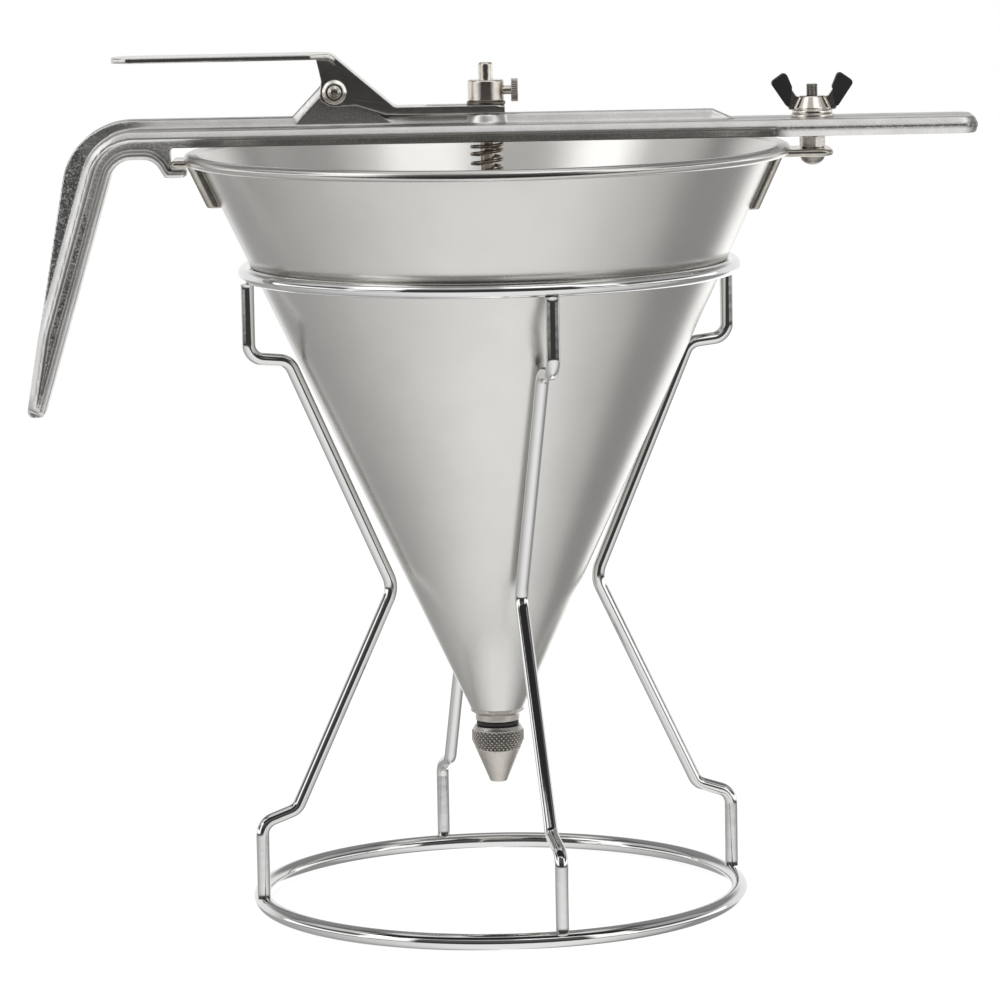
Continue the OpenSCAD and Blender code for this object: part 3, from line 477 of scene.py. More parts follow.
# One skin over all solids of a mesh, with soft edges
def remeshed(name, mesh, voxel, smoothing, share=1.0):
    steps = [("REMESH", {"mode": "VOXEL", "voxel_size": voxel * mm}),
             ("SMOOTH", {"factor": 0.5, "iterations": smoothing})]
    if share < 1.0:
        steps.append(("DECIMATE", {"ratio": share}))
    made = applied(name, mesh, *steps)
    made.shade_smooth()
    return made


def ring(bm, points):  # points in mm
    return [bm.verts.new((x * mm, y * mm, z * mm)) for x, y, z in points]


def joined(bm, rings):  # closes a row of rings to one solid
    faces = [bm.faces.new(rings[0]), bm.faces.new(list(reversed(rings[-1])))]
    for one, other in zip(rings, rings[1:]):
        for k in range(len(one)):
            faces.append(bm.faces.new((one[k], one[k - 1], other[k - 1], other[k])))
    bmesh.ops.recalc_face_normals(bm, faces=faces)


def slab(bm, outline, half, chamfer=0.0, depth=0.0):  # a side view (x, z) given its thickness along Y
    inner = besides(outline, [-chamfer] * len(outline), closed=True)
    sides = [(outline, -half), (outline, half)]
    if chamfer:
        sides = [(inner, -half), (outline, depth - half), (outline, half - depth), (inner, half)]
    joined(bm, [ring(bm, [(x, y, z) for x, z in side]) for side, y in sides])


def meshOf(name, bm):  # ends the work on some solids
    bmesh.ops.triangulate(bm, faces=bm.faces)
    mesh = bpy.data.meshes.new(name)
    bm.to_mesh(mesh)
    bm.free()
    return mesh


def drilled(mesh, holes, reach=15, segments=48):  # holes are (centre, axis, radius) in mm
    for centre, axis, radius in holes:
        profile = [(0.0, -reach), (radius, -reach), (radius, reach), (0.0, reach)]
        tool = linked("drill", stood(turned("drill", profile, shadedBoltFinish, segments), *centre, axis))
        cut = {"operation": "DIFFERENCE", "solver": "MANIFOLD", "object": tool}
        mesh = applied(mesh.name, mesh, ("BOOLEAN", cut))
        bpy.data.objects.remove(tool)
    return mesh


# Geometry Nodes: a tree with named inputs, whose result becomes a plain mesh
class Recipe(Tree):
    def __init__(self, name, inputs):
        super().__init__(bpy.data.node_groups.new(name, "GeometryNodeTree"))
        face = self.tree.interface
        face.new_socket("Geometry", in_out="INPUT", socket_type="NodeSocketGeometry")
        self.ids = {}
        for label, kind in inputs:
            socket = face.new_socket(label, in_out="INPUT", socket_type="NodeSocket" + kind)
            self.ids[label] = socket.identifier
        face.new_socket("Geometry", in_out="OUTPUT", socket_type="NodeSocketGeometry")
        labels = ("Geometry", *self.ids)
        self.given = dict(zip(labels, self.node("NodeGroupInput", output=labels)))

    def close(self, geometry):
        smooth = self.node("GeometryNodeSetShadeSmooth", {}, {"Geometry": geometry})
        whole = self.node("GeometryNodeRealizeInstances", {}, {"Geometry": smooth})
        finished = self.node("GeometryNodeSetMaterial", {},
                             {"Geometry": whole, "Material": self.given["Finish"]})
        self.node("NodeGroupOutput", {}, {"Geometry": finished})

    def made(self, name, data, values):
        source = linked(name + "Source", data)
        modifier = source.modifiers.new("recipe", "NODES")
        modifier.node_group = self.tree
        for label, value in values.items():
            modifier[self.ids[label]] = value
        return plain(name, source)


# A round wire swept along a path, and copied round the stand
def wireRecipe():
    r = Recipe("sweptWire", [("Wire Radius", "Float"), ("Sides", "Int"), ("Copies", "Int"),
                             ("First Turn", "Float"), ("Finish", "Material")])
    section = r.node("GeometryNodeCurvePrimitiveCircle", {},
                     {"Resolution": r.given["Sides"], "Radius": r.given["Wire Radius"]})
    tube = r.node("GeometryNodeCurveToMesh", {}, {
        "Curve": r.given["Geometry"], "Profile Curve": section, "Scale": r.node("GeometryNodeInputRadius"),
        "Fill Caps": True})
    spots = r.node("GeometryNodePoints", {}, {"Count": r.given["Copies"]})
    angle = r.node("GeometryNodeInputIndex") * (2 * pi / r.given["Copies"]) + r.given["First Turn"]
    turn = r.node("FunctionNodeEulerToRotation", {}, {0: r.node("ShaderNodeCombineXYZ", {}, {"Z": angle})})
    r.close(r.node("GeometryNodeInstanceOnPoints", {}, {"Points": spots, "Instance": tube, "Rotation": turn}))
    return r


def wirePath(points, closed=False, widths=None):  # points in mm
    data = bpy.data.curves.new("wirePath", "CURVE")
    data.dimensions = "3D"
    run = data.splines.new("POLY")
    run.points.add(len(points) - 1)
    for i, p in enumerate(points):
        run.points[i].co = (p[0] * mm, p[1] * mm, p[2] * mm, 1.0)
        run.points[i].radius = widths[i] if widths else 1.0
    run.use_cyclic_u = closed
    return data


wireTree = wireRecipe()


def wireMesh(name, path, thick, sides, finish, copies=1, firstTurn=0.0):
    return wireTree.made(name, path, {"Wire Radius": thick / 2 * mm, "Sides": sides, "Copies": copies,
                                      "First Turn": firstTurn, "Finish": finish})


# Stand
stand = Sizes(
    baseRadius=84.2, baseHeight=2.6, baseWire=6.0, seatRadius=84.8, seatHeight=223.4, seatWire=5.0,
    ringSteps=240, ringSides=36, legWire=4.6, legSides=28, legTurn=14.0, bend=5.5, bendSteps=14,
    weldSpread=0.03, weldLength=1.6, weldCurve=2.2, nose=0.35, fineBelow=14, fineAbove=212, fineStep=0.4,
    legPath=[(85.8, 221.3), (85.8, 195.2), (71.789, 193.8), (36.563, 112.7, 10.0), (72.7, 36.3), (85.2, 32.0),
             (85.2, 5.0)],
)


def standRing(name, s, radius, height, thick):
    hoop = [(radius * cos(a), radius * sin(a), height) for a in fullTurn(s.ringSteps)]
    mesh = wireMesh(name, wirePath(hoop, closed=True), thick, s.ringSides, wireFinish)
    for v in mesh.vertices:  # the base stands on a narrow flat
        v.co.z = max(v.co.z, 0.0)
    return settle(mesh)


def standLegs(s):
    bent = arced(s.legPath, s.bend, s.bendSteps, closed=False)
    run = []
    for a, b in zip(bent, bent[1:]):  # close steps near the rings, where the welds swell
        near = min(a[1], b[1]) < s.fineBelow or max(a[1], b[1]) > s.fineAbove
        run += finely([a, b], s.fineStep)[:-1] if near else [a]
    run.append(bent[-1])
    widths = []
    for r, z in run:
        clear = min(z - s.baseHeight - s.baseWire / 2, s.seatHeight - s.seatWire / 2 - z)
        swell = 1 + s.weldSpread * max(0.0, 1 - max(clear, 0.0) / s.weldLength) ** s.weldCurve
        left = min(abs(z - run[0][1]), abs(z - run[-1][1])) / s.nose
        widths.append(swell * sqrt(max(0.02, 1 - max(0.0, 1 - left) ** 2)))  # the ends melt into the rings
    path = wirePath([(r, 0.0, z) for r, z in run], widths=widths)
    return settle(wireMesh("standLegs", path, s.legWire, s.legSides, wireFinish, 4, radians(s.legTurn)), 60)


place("baseRing", standRing("baseRing", stand, stand.baseRadius, stand.baseHeight, stand.baseWire),
      "stand", "chromed_wire", "stand_base_ring")
place("seatRing", standRing("seatRing", stand, stand.seatRadius, stand.seatHeight, stand.seatWire),
      "stand", "chromed_wire", "stand_seat_ring")
place("standLegs", standLegs(stand), "stand", "chromed_wire",
      "stand_leg_1", "stand_leg_2", "stand_leg_3", "stand_leg_4")
print("stand made")

# Cone of sheet steel with a rolled rim
cone = Sizes(
    footZ=68.1058, footRadius=9.4, slope=0.465641, wall=1.1031, rows=(110.0, 160.0, 210.0, 250.0),
    innerTop=262.6, over=[(99.5, 263.9), (100.0, 264.47), (100.8, 264.83)], outerTop=262.2,
    tuckTop=263.2, tuckLow=262.7, tuckGap=0.02, rimRadius=103.1, rimZ=263.1058, rimRoll=1.9,
    rollStart=112, rollSweep=272, rollSteps=34, segments=256,
)


def coneRadius(z):
    return cone.footRadius + cone.slope * (z - cone.footZ)


def coneProfile(c):
    inner = [(coneRadius(z) - c.wall, z) for z in (c.footZ, *c.rows, c.innerTop)]
    roll = [(c.rimRadius + c.rimRoll * cos(a), c.rimZ + c.rimRoll * sin(a))
            for a in (radians(c.rollStart - c.rollSweep * k / c.rollSteps) for k in range(c.rollSteps + 1))]
    tuck = [(coneRadius(c.tuckTop) + c.tuckGap, c.tuckTop), (coneRadius(c.tuckLow), c.tuckLow)]
    outer = [(coneRadius(z), z) for z in (c.outerTop, *reversed(c.rows), c.footZ)]
    return inner + c.over + roll + tuck + outer


turnedPiece("sheetCone", coneProfile(cone), sheetFinish, cone.segments, "funnel", "satin_steel", "funnel_cone")
print("cone made")

# Brackets under the rim: a strap rolled to the cone with rounded outer edges, and a level tab
bracket = Sizes(
    half=11.0, beadRadius=103.1, innerRadius=100.4, tabLow=260.2558, tabTop=262.8558, tabRound=1.2,
    strapTop=261.0, gap=0.06, footRound=0.9, voxel=0.25, smoothing=4, share=0.5, boltX=112.8, boltHole=2.05,
    hook=Sizes(way=-1, reach=109.2, endRound=1.5, strapLow=246.3058, thick=4.853, strapRound=2.5),
    bolt=Sizes(way=1, reach=119.6, endRound=4.0, strapLow=242.3058, thick=3.4195, strapRound=1.8),
)


def bracketMesh(name, b, own):
    bm = bmesh.new()
    sweep = asin(b.half / b.beadRadius)
    low, high = own.strapLow, b.strapTop
    strap, tab = [], []
    for k in range(-24, 25):  # closer towards the two ends
        turn = sweep * sin(pi / 2 * k / 24)
        left = max(0.0, own.strapRound - (sweep - abs(turn)) * b.beadRadius)
        thick = own.thick - own.strapRound + sqrt(own.strapRound ** 2 - left ** 2)
        inner, outer = b.gap, b.gap + thick
        section = arced([(coneRadius(low) + inner, low, 0), (coneRadius(low) + outer, low, b.footRound),
                         (coneRadius(high) + outer, high, 0), (coneRadius(high) + inner, high, 0)], 0, 5)
        strap.append(ring(bm, [(own.way * r * cos(turn), own.way * r * sin(turn), z) for r, z in section]))
    joined(bm, strap)
    for k in range(13):  # the tab's edge is round
        slope = radians(-90 + 15 * k)
        middle = b.tabLow + b.tabRound if k < 6 else b.tabTop - b.tabRound
        draw = b.tabRound * (1 - cos(slope))
        reach, half = own.reach - draw, b.half - draw
        root = [(b.innerRadius * cos(a), b.innerRadius * sin(a), 0)
                for a in np.linspace(sweep, -sweep, 9) * half / b.half]
        plan = arced([*root, (reach, -half, own.endRound), (reach, half, own.endRound)], 0, 8)
        z = middle + b.tabRound * sin(slope)
        tab.append(ring(bm, [(own.way * x, own.way * y, z) for x, y in plan]))
    joined(bm, tab)
    return dressed(remeshed(name, meshOf(name, bm), b.voxel, b.smoothing, b.share), bracketFinish)


place("hookBracket", bracketMesh("hookBracket", bracket, bracket.hook), "funnel", "satin_steel", "hook_bracket")
boltBracket = drilled(bracketMesh("boltBracket", bracket, bracket.bolt),
                      [((bracket.boltX, 0, bracket.strapTop), "Z", bracket.boltHole)])
place("boltBracket", dressed(boltBracket, bracketFinish), "funnel", "satin_steel", "bolt_bracket")
print("brackets made")

# Spout: spanner flats below the cone, a plug inside it and a stub for the nozzle
spout = Sizes(footZ=63.7058, coneZ=68.1058, topZ=71.1058, stubZ=52.7058, landRadius=7.7, land=2.2, chamfer=1.2,
              radius=9.4, stubRadius=4.8, boreRadius=3.8, flats=17.2, turn=-20.5, plugLow=8.247, plugTop=9.644,
              plugWall=0.6, seatZ=64.8058)


def spoutProfile(s):
    shoulder = s.footZ + s.land
    return arced([
        (s.boreRadius, s.stubZ, 0.2), (s.stubRadius, s.stubZ, 0.4), (s.stubRadius, s.footZ, 0.15),
        (s.landRadius, s.footZ, 0.3), (s.landRadius, shoulder, 0.1), (s.radius, shoulder + s.chamfer, 0.5),
        (s.radius, s.coneZ, 0.1), (s.plugLow, s.coneZ, 0), (s.plugTop, s.topZ, 0.2),
        (s.plugTop - s.plugWall, s.topZ, 0.2), (s.boreRadius, s.seatZ, 0.1)], 0.0, 4)


turnedPiece("spout", spoutProfile(spout), nozzleFinish, 144, "funnel", "satin_steel", "outlet_spout",
            flats=spout.flats, turn=spout.turn)


# Crossed grooves cut into a turned band; land is the flat share between them
def knurlRecipe(land=0.12, steep=2.6):
    r = Recipe("knurledBand", [("Grooves", "Float"), ("Lead", "Float"), ("Groove Depth", "Float"),
                               ("Finish", "Material")])
    x, y, z = r.node("ShaderNodeSeparateXYZ", {}, {0: r.node("GeometryNodeInputPosition")}, ("X", "Y", "Z"))
    around = y.maths("ARCTAN2", y, x) * (r.given["Grooves"] / (2 * pi))
    along = z * r.given["Lead"]

    def groove(way):
        saw = abs(way.maths("FRACT", way) - 0.5)
        return saw.maths("MAXIMUM", (saw - land) * steep, 0.0)

    cut = z.maths("MAXIMUM", groove(around + along), groove(around - along))
    mask = r.node("GeometryNodeInputNamedAttribute", {"data_type": "FLOAT"}, {"Name": "knurl"})
    depth = cut * mask * r.given["Groove Depth"]
    out = r.node("ShaderNodeVectorMath", {"operation": "NORMALIZE"},
                 {0: r.node("ShaderNodeCombineXYZ", {}, {"X": x, "Y": y})})
    shift = r.node("ShaderNodeVectorMath", {"operation": "SCALE"}, {0: out, "Scale": -depth})
    cutIn = r.node("GeometryNodeSetPosition", {}, {"Geometry": r.given["Geometry"], "Offset": shift})
    # The groove depth is kept so that the finish can paint shade into the grooves
    r.close(r.node("GeometryNodeStoreNamedAttribute", {"data_type": "FLOAT", "domain": "POINT"},
                   {"Geometry": cutIn, "Name": "groove", "Value": cut * mask}))
    return r


knurlTree = knurlRecipe()


def knurled(mesh, finish, k):  # cuts what lies beyond a radius
    mask = mesh.attributes.new("knurl", "FLOAT", "POINT")
    for v in mesh.vertices:
        z = v.co.z / mm
        inside = min((z - k.low) / k.fade, (k.high - z) / k.fade, 1.0)
        mask.data[v.index].value = max(0.0, inside) if hypot(v.co.x, v.co.y) / mm > k.beyond else 0.0
    made = knurlTree.made(mesh.name, mesh, {"Grooves": k.grooves, "Lead": k.lead / mm,
                                            "Groove Depth": k.depth * mm, "Finish": finish})
    return settle(made)


# Nozzle with a knurled band
nozzle = Sizes(
    topZ=61.8058, tipZ=41.8058, radius=9.2, band=5.1, chamfer=1.2, chamferHeight=2.0, tipRadius=2.95,
    orificeRadius=2.0, orifice=2.0, boreRadius=4.86, floorZ=52.3058, segments=410, rowsLow=53.1, rowsHigh=60.7,
    rowStep=0.15, knurl=Sizes(low=53.4, high=60.5, fade=0.5, beyond=5.4, grooves=33.0, lead=0.6, depth=0.7),
)


def nozzleProfile(s):
    return arced([(s.boreRadius, s.topZ, 0.2), (s.radius - s.chamfer, s.topZ, 0.3),
                  (s.radius, s.topZ - s.chamferHeight, 0.5), (s.radius, s.topZ - s.band, 0.8),
                  (s.tipRadius, s.tipZ, 0.35), (s.orificeRadius, s.tipZ, 0.25),
                  (s.orificeRadius, s.tipZ + s.orifice, 0.2), (s.boreRadius, s.floorZ, 0.3)], 0.0, 4)


nozzleMesh = turned("nozzle", nozzleProfile(nozzle), nozzleFinish, nozzle.segments,
                    rows=closeRows(nozzle.rowsLow, nozzle.rowsHigh, nozzle.knurl.beyond, nozzle.rowStep))
place("nozzle", knurled(nozzleMesh, nozzleFinish, nozzle.knurl), "nozzle", "turned_steel", "nozzle")

# Rubber ring, squeezed between spout and nozzle
seal = Sizes(outer=7.4, inner=4.9, low=61.8058, high=63.7058, round=0.75)
sealProfile = arced([(seal.inner, seal.low), (seal.outer, seal.low), (seal.outer, seal.high),
                     (seal.inner, seal.high)], seal.round, 8)
turnedPiece("nozzleSeal", sealProfile, rubberFinish, 96, "nozzle", "black_rubber", "nozzle_seal")
print("outlet made")

# Handle casting: bar, grip, foot and ear
casting = Sizes(
    webHalf=4.0, ribTopHalf=3.4, ribFootHalf=4.9, ribDepth=3.6, ribEnd=78.5, ribSlope=7.5, ribStop=3,
    ribFadeFrom=8, ribFade=22, ribTail=24, topInset=2.6, gripInset=0.5, barHalf=14.0, barLow=266.8558,
    barTop=276.8558, barEnd=169.5, barEndRound=6.0, flangeLow=269.9558, flangeTop=273.4558, flangeDraft=1.3,
    paddleLow=267.5558, paddleStart=101.0, topDraft=1.3, lowDraft=0.8, gripX=143.4, gripLean=10.3,
    gripBend=25.0, gripLow=173.6558, gripDepth=17.7, tipDepth=6.3, tipHalf=7.5, tipRound=6.0, tipRise=1.2,
    tipLeast=1.9, taper=0.92, archZ=263.0558, archRound=8.0, archDrop=3.8, footRound=9.0, footLow=256.6558,
    notchX=109.6, notchWall=1.8, lipX=104.111, lipTop=259.2558, lipHalf=1.25, ridgeIn=8.2, ridgeHalf=1.6,
    ridgeBend=17.2, ridgeKnee=230.0, beadHalf=1.5, beadWidth=6.5, bossRadius=8.2, bossTop=7.0, sink=1.0,
    pivotX=52.2, pivotZ=285.3558, earRadius=5.6, earLeft=70.4, earRight=30.5, earProud=0.4, earChamfer=2.4,
    earDepth=1.35, rodHole=2.56, rodDrillZ=272, boltX=112.8, boltHole=2.05, boltDrillZ=270, pivotHole=2.56,
    pathStep=2.0, voxel=0.4, smoothing=7, share=0.34, sharpAngle=50,
)


def gripOut(z):
    return casting.gripX + tan(radians(casting.gripLean)) * (casting.barTop - z)


def gripIn(z):
    c = casting
    share = (z - c.gripLow) / (c.barLow - c.gripLow)
    return gripOut(z) - c.tipDepth - (c.gripDepth - c.tipDepth) * share


def swept(bm, path, section):  # section(i) gives points (to the left of the way, along Y) at point i
    rings = []
    for i, p in enumerate(path):
        way = (Vector(path[min(i + 1, len(path) - 1)]) - Vector(path[max(i - 1, 0)])).normalized()
        rings.append(ring(bm, [(p[0] - way.y * o, y, p[1] + way.x * o) for o, y in section(i)]))
    joined(bm, rings)


def webOutline(c, inset, gripInset):  # the outer edges of bar and grip can be drawn in
    tip = c.tipDepth * 0.4
    wall = c.notchX + c.notchWall
    shift = gripInset / cos(radians(c.gripLean))
    top, shoulder = c.barTop - inset, c.flangeTop - 0.1 * inset
    slope = 0.8 * inset
    return arced([
        (c.paddleStart, c.barLow, 0), (c.paddleStart, shoulder, 0),
        (c.ribEnd + c.ribSlope - slope, shoulder, 0), (c.ribEnd - slope, top, 1),
        (shift - gripOut(top), top, c.gripBend - inset), (shift - gripOut(c.gripLow), c.gripLow, tip),
        (-gripIn(c.gripLow), c.gripLow, tip), (-gripIn(c.archZ), c.archZ, c.archRound),
        (-wall - c.archDrop, c.archZ, c.footRound), (-wall, c.footLow, 0), (-c.lipX, c.footLow, 1),
        (-c.lipX, c.lipTop, 0.5), (-c.notchX, c.lipTop, 1), (-c.notchX, c.barLow, 1)], 0, 14)


# Rib along the bar's top, with draft on its sides as far as the bend
def outerRib(bm, c):
    lowZ = c.gripLow + c.ribStop
    corners = [(c.ribEnd + c.ribSlope, c.flangeTop), (c.ribEnd, c.barTop, 1),
               (-c.gripX, c.barTop, c.gripBend), (-gripOut(lowZ), lowZ)]
    path = finely(arced(corners, 0, 24, closed=False), c.pathStep)

    def section(i):
        fade = min(1.0, max(0.0, (path[i][0] + c.gripX - c.ribFadeFrom) / c.ribFade))
        top = c.webHalf - (c.webHalf - c.ribTopHalf) * fade
        foot = c.webHalf + (c.ribFootHalf - c.webHalf) * fade
        if path[i][1] < lowZ + c.ribTail:
            top = foot = c.webHalf - 0.3
        deep = c.ribDepth
        return [(0, -top), (0, top), (deep - 0.2, foot), (deep, foot), (deep, -foot), (deep - 0.2, -foot)]

    swept(bm, path, section)


# Flange along the bar, which becomes the ridge down the grip
def flange(bm, c):
    middle = (c.flangeLow + c.flangeTop) / 2
    endZ = c.gripLow + c.tipRise

    def ridgeX(z):
        return min(gripIn(z) + c.ridgeIn, gripOut(z) - c.ridgeHalf - 0.1)

    lean = (ridgeX(c.ridgeKnee) - ridgeX(c.archZ)) / (c.archZ - c.ridgeKnee)
    bend = (-ridgeX(c.archZ) - (c.archZ - middle) * lean, middle, c.ridgeBend)
    down = [(-ridgeX(z), z) for z in np.linspace(c.ridgeKnee, endZ, 24)]
    path = finely(arced([(c.paddleStart + 3, middle), bend, *down], 0, 24, closed=False), c.pathStep)

    def section(i):
        z = path[i][1]
        share = min(max((c.archZ - z) / (c.archZ - c.gripLow), 0.0), 1.0)
        width = c.barHalf - (c.barHalf - c.tipHalf) * share ** c.taper
        left = max(0.0, c.tipRound - (z - endZ))  # the tip is round, seen along the bar
        width -= c.tipRound - sqrt(c.tipRound ** 2 - left ** 2)
        half = c.ridgeHalf if z < c.flangeLow else (c.flangeTop - c.flangeLow) / 2
        wide = max(width, c.tipLeast)
        slim = wide - c.flangeDraft  # the outer side leans in, as the paddle's upper half does
        edge = [(half, wide - 0.6), (half - 0.6, wide), (half - 0.9, wide), (0.6 - half, slim + 0.3),
                (-half, slim - 0.3)]
        return arced(edge + [(o, -w) for o, w in reversed(edge)], 0.25, 3)

    swept(bm, path, section)


# Bead along the grip's inner edge, the arch and the foot, where it thins to the hook's lip
def innerBead(bm, c):
    wall = c.notchX + c.notchWall
    endZ = c.gripLow + c.tipRise
    edge = finely(arced([(-gripIn(endZ), endZ), (-gripIn(c.archZ), c.archZ, c.archRound),
                         (-wall - c.archDrop, c.archZ, c.footRound), (-wall, c.footLow, 0.8),
                         (-c.lipX - 0.6, c.footLow)], 0, 14, closed=False), 1.5)
    swell = [min(1.0, max(0.0, (-x - wall - 1.5) / 5)) for x, z in edge]
    halves = [c.lipHalf + (c.beadHalf - c.lipHalf) * share for share in swell]

    def section(i):
        half, wide = halves[i], c.beadWidth
        return arced([(half, wide), (-half, wide), (-half, -wide), (half, -wide)], 0.85 * half, 6)

    swept(bm, besides(edge, halves), section)


def paddle(bm, c):
    middle = (c.paddleLow + c.flangeTop) / 2
    levels = [(c.paddleLow, c.lowDraft), (middle - 0.3, 0.0), (middle + 0.3, 0.0), (c.flangeTop, c.topDraft)]
    rings = []
    for z, draft in levels:
        start, end, half = c.paddleStart - 1, c.barEnd - draft, c.barHalf - draft
        plan = arced([(start, -half, 0), (end, -half), (end, half), (start, half, 0)],
                     c.barEndRound - draft, 14)
        rings.append(ring(bm, [(x, y, z) for x, y in plan]))
    joined(bm, rings)


def boss(bm, c):
    steps = ((c.bossRadius, c.flangeLow + c.sink), (c.bossRadius, c.flangeTop), (c.bossTop, c.barTop))
    joined(bm, [ring(bm, [(r * cos(a), r * sin(a), z) for a in fullTurn(64)]) for r, z in steps])


def ear(bm, c):
    px, pz, er = c.pivotX, c.pivotZ, c.earRadius
    outline = arced([(-c.earLeft, c.flangeTop, 0), (-px - er, pz + er / 4), (-px - er / 3, pz + er),
                     (-px + er / 2, pz + er * 0.85), (-c.earRight, c.flangeTop, 0),
                     (-c.earRight, c.flangeLow + c.sink, 0), (-c.earLeft, c.flangeLow + c.sink, 0)], 2.0, 8)
    slab(bm, outline, c.webHalf + c.earProud, c.earChamfer, c.earDepth)


def castingMesh(c):
    bm = bmesh.new()
    slab(bm, webOutline(c, 0.0, 0.0), c.ribTopHalf)
    slab(bm, webOutline(c, c.topInset, c.gripInset), c.webHalf)
    for make in (outerRib, flange, innerBead, paddle, boss, ear):
        make(bm, c)
    mesh = remeshed("handleCasting", meshOf("handleCasting", bm), c.voxel, c.smoothing, c.share)
    mesh = drilled(mesh, [((0, 0, c.rodDrillZ), "Z", c.rodHole), ((c.boltX, 0, c.boltDrillZ), "Z", c.boltHole),
                          ((-c.pivotX, 0, c.pivotZ), "Y", c.pivotHole)])
    dressed(mesh, castFinish).shade_smooth()
    mesh.set_sharp_from_angle(angle=radians(c.sharpAngle))
    return mesh


# Where the casting's skin is rough and its edges rubbed, with painted shade on the grip's webs and painted
# highlight on the edges: a normal's share or a length in mm, then a soft width
skinPlan = Sizes(side=(0.945, 0.03), web=4.15, besideWeb=(0.85, 0.3), top=(0.9, 0.06), parting=(0.45, 0.75),
                 end=(-5, 3), rub=(0.06, 0.12), gripFrom=4, onBar=0.52, onTop=0.35, onParting=0.65, onEnd=0.6)


def ramp(value, start, soft):
    return np.clip((value - start) / soft, 0, 1)


def markValues(mesh, name, values):
    mesh.attributes.new(name, "FLOAT", "POINT").data.foreach_set("value", values.astype(np.float32))


def castSkinAndShade(mesh, c, s):  # 1 on the sides of the web and at the parting line, 0 on the smoother bands
    count = len(mesh.vertices)
    normals, spots = np.zeros(count * 3, dtype=np.float32), np.zeros(count * 3, dtype=np.float32)
    mesh.vertex_normals.foreach_get("vector", normals)
    mesh.vertices.foreach_get("co", spots)
    normals, spots = normals.reshape(-1, 3), spots.reshape(-1, 3) / mm
    x, y, z = spots.T
    sides = ramp(np.abs(normals[:, 1]), *s.side) * (1 - ramp(np.abs(np.abs(y) - s.web), *s.besideWeb))
    top = ramp(normals[:, 2], *s.top) * (np.abs(y) < c.webHalf) * (x > -c.gripX)
    level = (np.abs(normals[:, 2]) < 0.5) * (x > c.paddleStart)
    parting = (1 - ramp(np.abs(z - 0.5 * (c.paddleLow + c.flangeTop)), *s.parting)) * level
    end = ramp(x - c.barEnd, *s.end) * level
    # Painted shade: the grip's webs take the full dark skin and the bar's webs only a share, so that the grip
    # reads darker
    deep = np.where(x < s.gripFrom - c.gripX, 1.0, s.onBar)  # the grip's webs are the darkest
    whole = np.clip(sides * deep + s.onTop * top + s.onParting * parting + s.onEnd * end, 0, 1)
    markValues(mesh, "castSkinAndShade", whole)
    ends = np.zeros(len(mesh.edges) * 2, dtype=np.int32)
    mesh.edges.foreach_get("vertices", ends)
    a, b = ends.reshape(-1, 2).T
    way = spots[b] - spots[a]
    way /= np.maximum(np.linalg.norm(way, axis=1), 1e-6)[:, None]
    bend, links = np.zeros(count), np.zeros(count)
    for one, sign in ((a, 1), (b, -1)):  # how far the neighbours fall away from a point
        np.add.at(bend, one, -sign * np.einsum("ij,ij->i", way, normals[one]))
        np.add.at(links, one, 1)
    # Convex edges: worn bright, and lightened as a painted highlight
    markValues(mesh, "edgeWearAndHighlight", ramp(bend / np.maximum(links, 1), *s.rub))


castMesh = castingMesh(casting)
castSkinAndShade(castMesh, casting, skinPlan)
place("handleCasting", castMesh, "funnel", "cast_aluminium", "handle_casting")
print("casting made with", len(castMesh.polygons), "faces")

# Lever, pressed from sheet, on its pivot pin; the fork's edges are turned down to the bar
lever = Sizes(
    voxel=0.24, smoothing=6, share=0.4, lipLow=277.1, lipTop=279.5, lipThick=1.5, cheekOut=6.1,
    lipOut=[(-31.5, 6.1), (-24.0, 7.0), (6.5, 7.0)],
    heel=[(-46.0, 280.9), (-34.5, 277.2), (-27.0, 277.2), (-27.0, 278.6), (-31.5, 278.8), (-36.0, 281.3),
          (-46.0, 282.5)],
)


def leverMesh(s):
    bm = bmesh.new()
    bm.from_mesh(cadCopy("lever"))
    lip = s.lipOut + [(x, y - s.lipThick) for x, y in reversed(s.lipOut)]
    cheek = (s.cheekOut - s.lipThick, s.cheekOut)
    for way in (-1, 1):
        joined(bm, [ring(bm, [(x, way * y, z) for x, y in lip]) for z in (s.lipLow, s.lipTop)])
        joined(bm, [ring(bm, [(x, way * y, z) for x, z in s.heel]) for y in cheek])
    return dressed(remeshed("lever", meshOf("lever", bm), s.voxel, s.smoothing, s.share), leverFinish)


place("lever", leverMesh(lever), "lever", "bright_steel", "lever")
pivot = Sizes(x=-52.2, z=285.3558, pin=2.5, head=4.35, headLow=14.7, headTop=16.7, endY=-8.65, nutY=-8.05,
              nutHole=2.55, nutHeight=2.0, nutLand=3.1, nutSlope=0.65)
pinProfile = arced([(0, 0, 0), (1.2, 0.1, 0.5), (pivot.pin - 0.2, 0.55, 0.3), (pivot.pin, 1.0, 0.3),
                    (pivot.pin, pivot.headLow, 0.1), (pivot.head, pivot.headLow, 0.3),
                    (pivot.head, pivot.headTop, 0.7), (0, pivot.headTop, 0)], 0.0, 5)
turnedPiece("pivotPin", pinProfile, brightFinish, 64, "lever", "bright_steel", "pivot_pin",
            (pivot.x, pivot.endY, pivot.z), "Y")
pivotNut = arced([(pivot.nutHole, 0.9, 0.1), (pivot.nutLand - 0.2, 0.25, 0.1), (pivot.nutLand, 0, 0.2),
                  (pivot.head - 0.1, pivot.nutSlope, 0.3), (pivot.head, pivot.nutHeight, 0.2),
                  (pivot.nutHole, pivot.nutHeight, 0.1)], 0.0, 5)
turnedPiece("pivotNut", pivotNut, brightFinish, 64, "lever", "bright_steel", "pivot_nut",
            (pivot.x, pivot.nutY, pivot.z), "Y")
print("lever made")


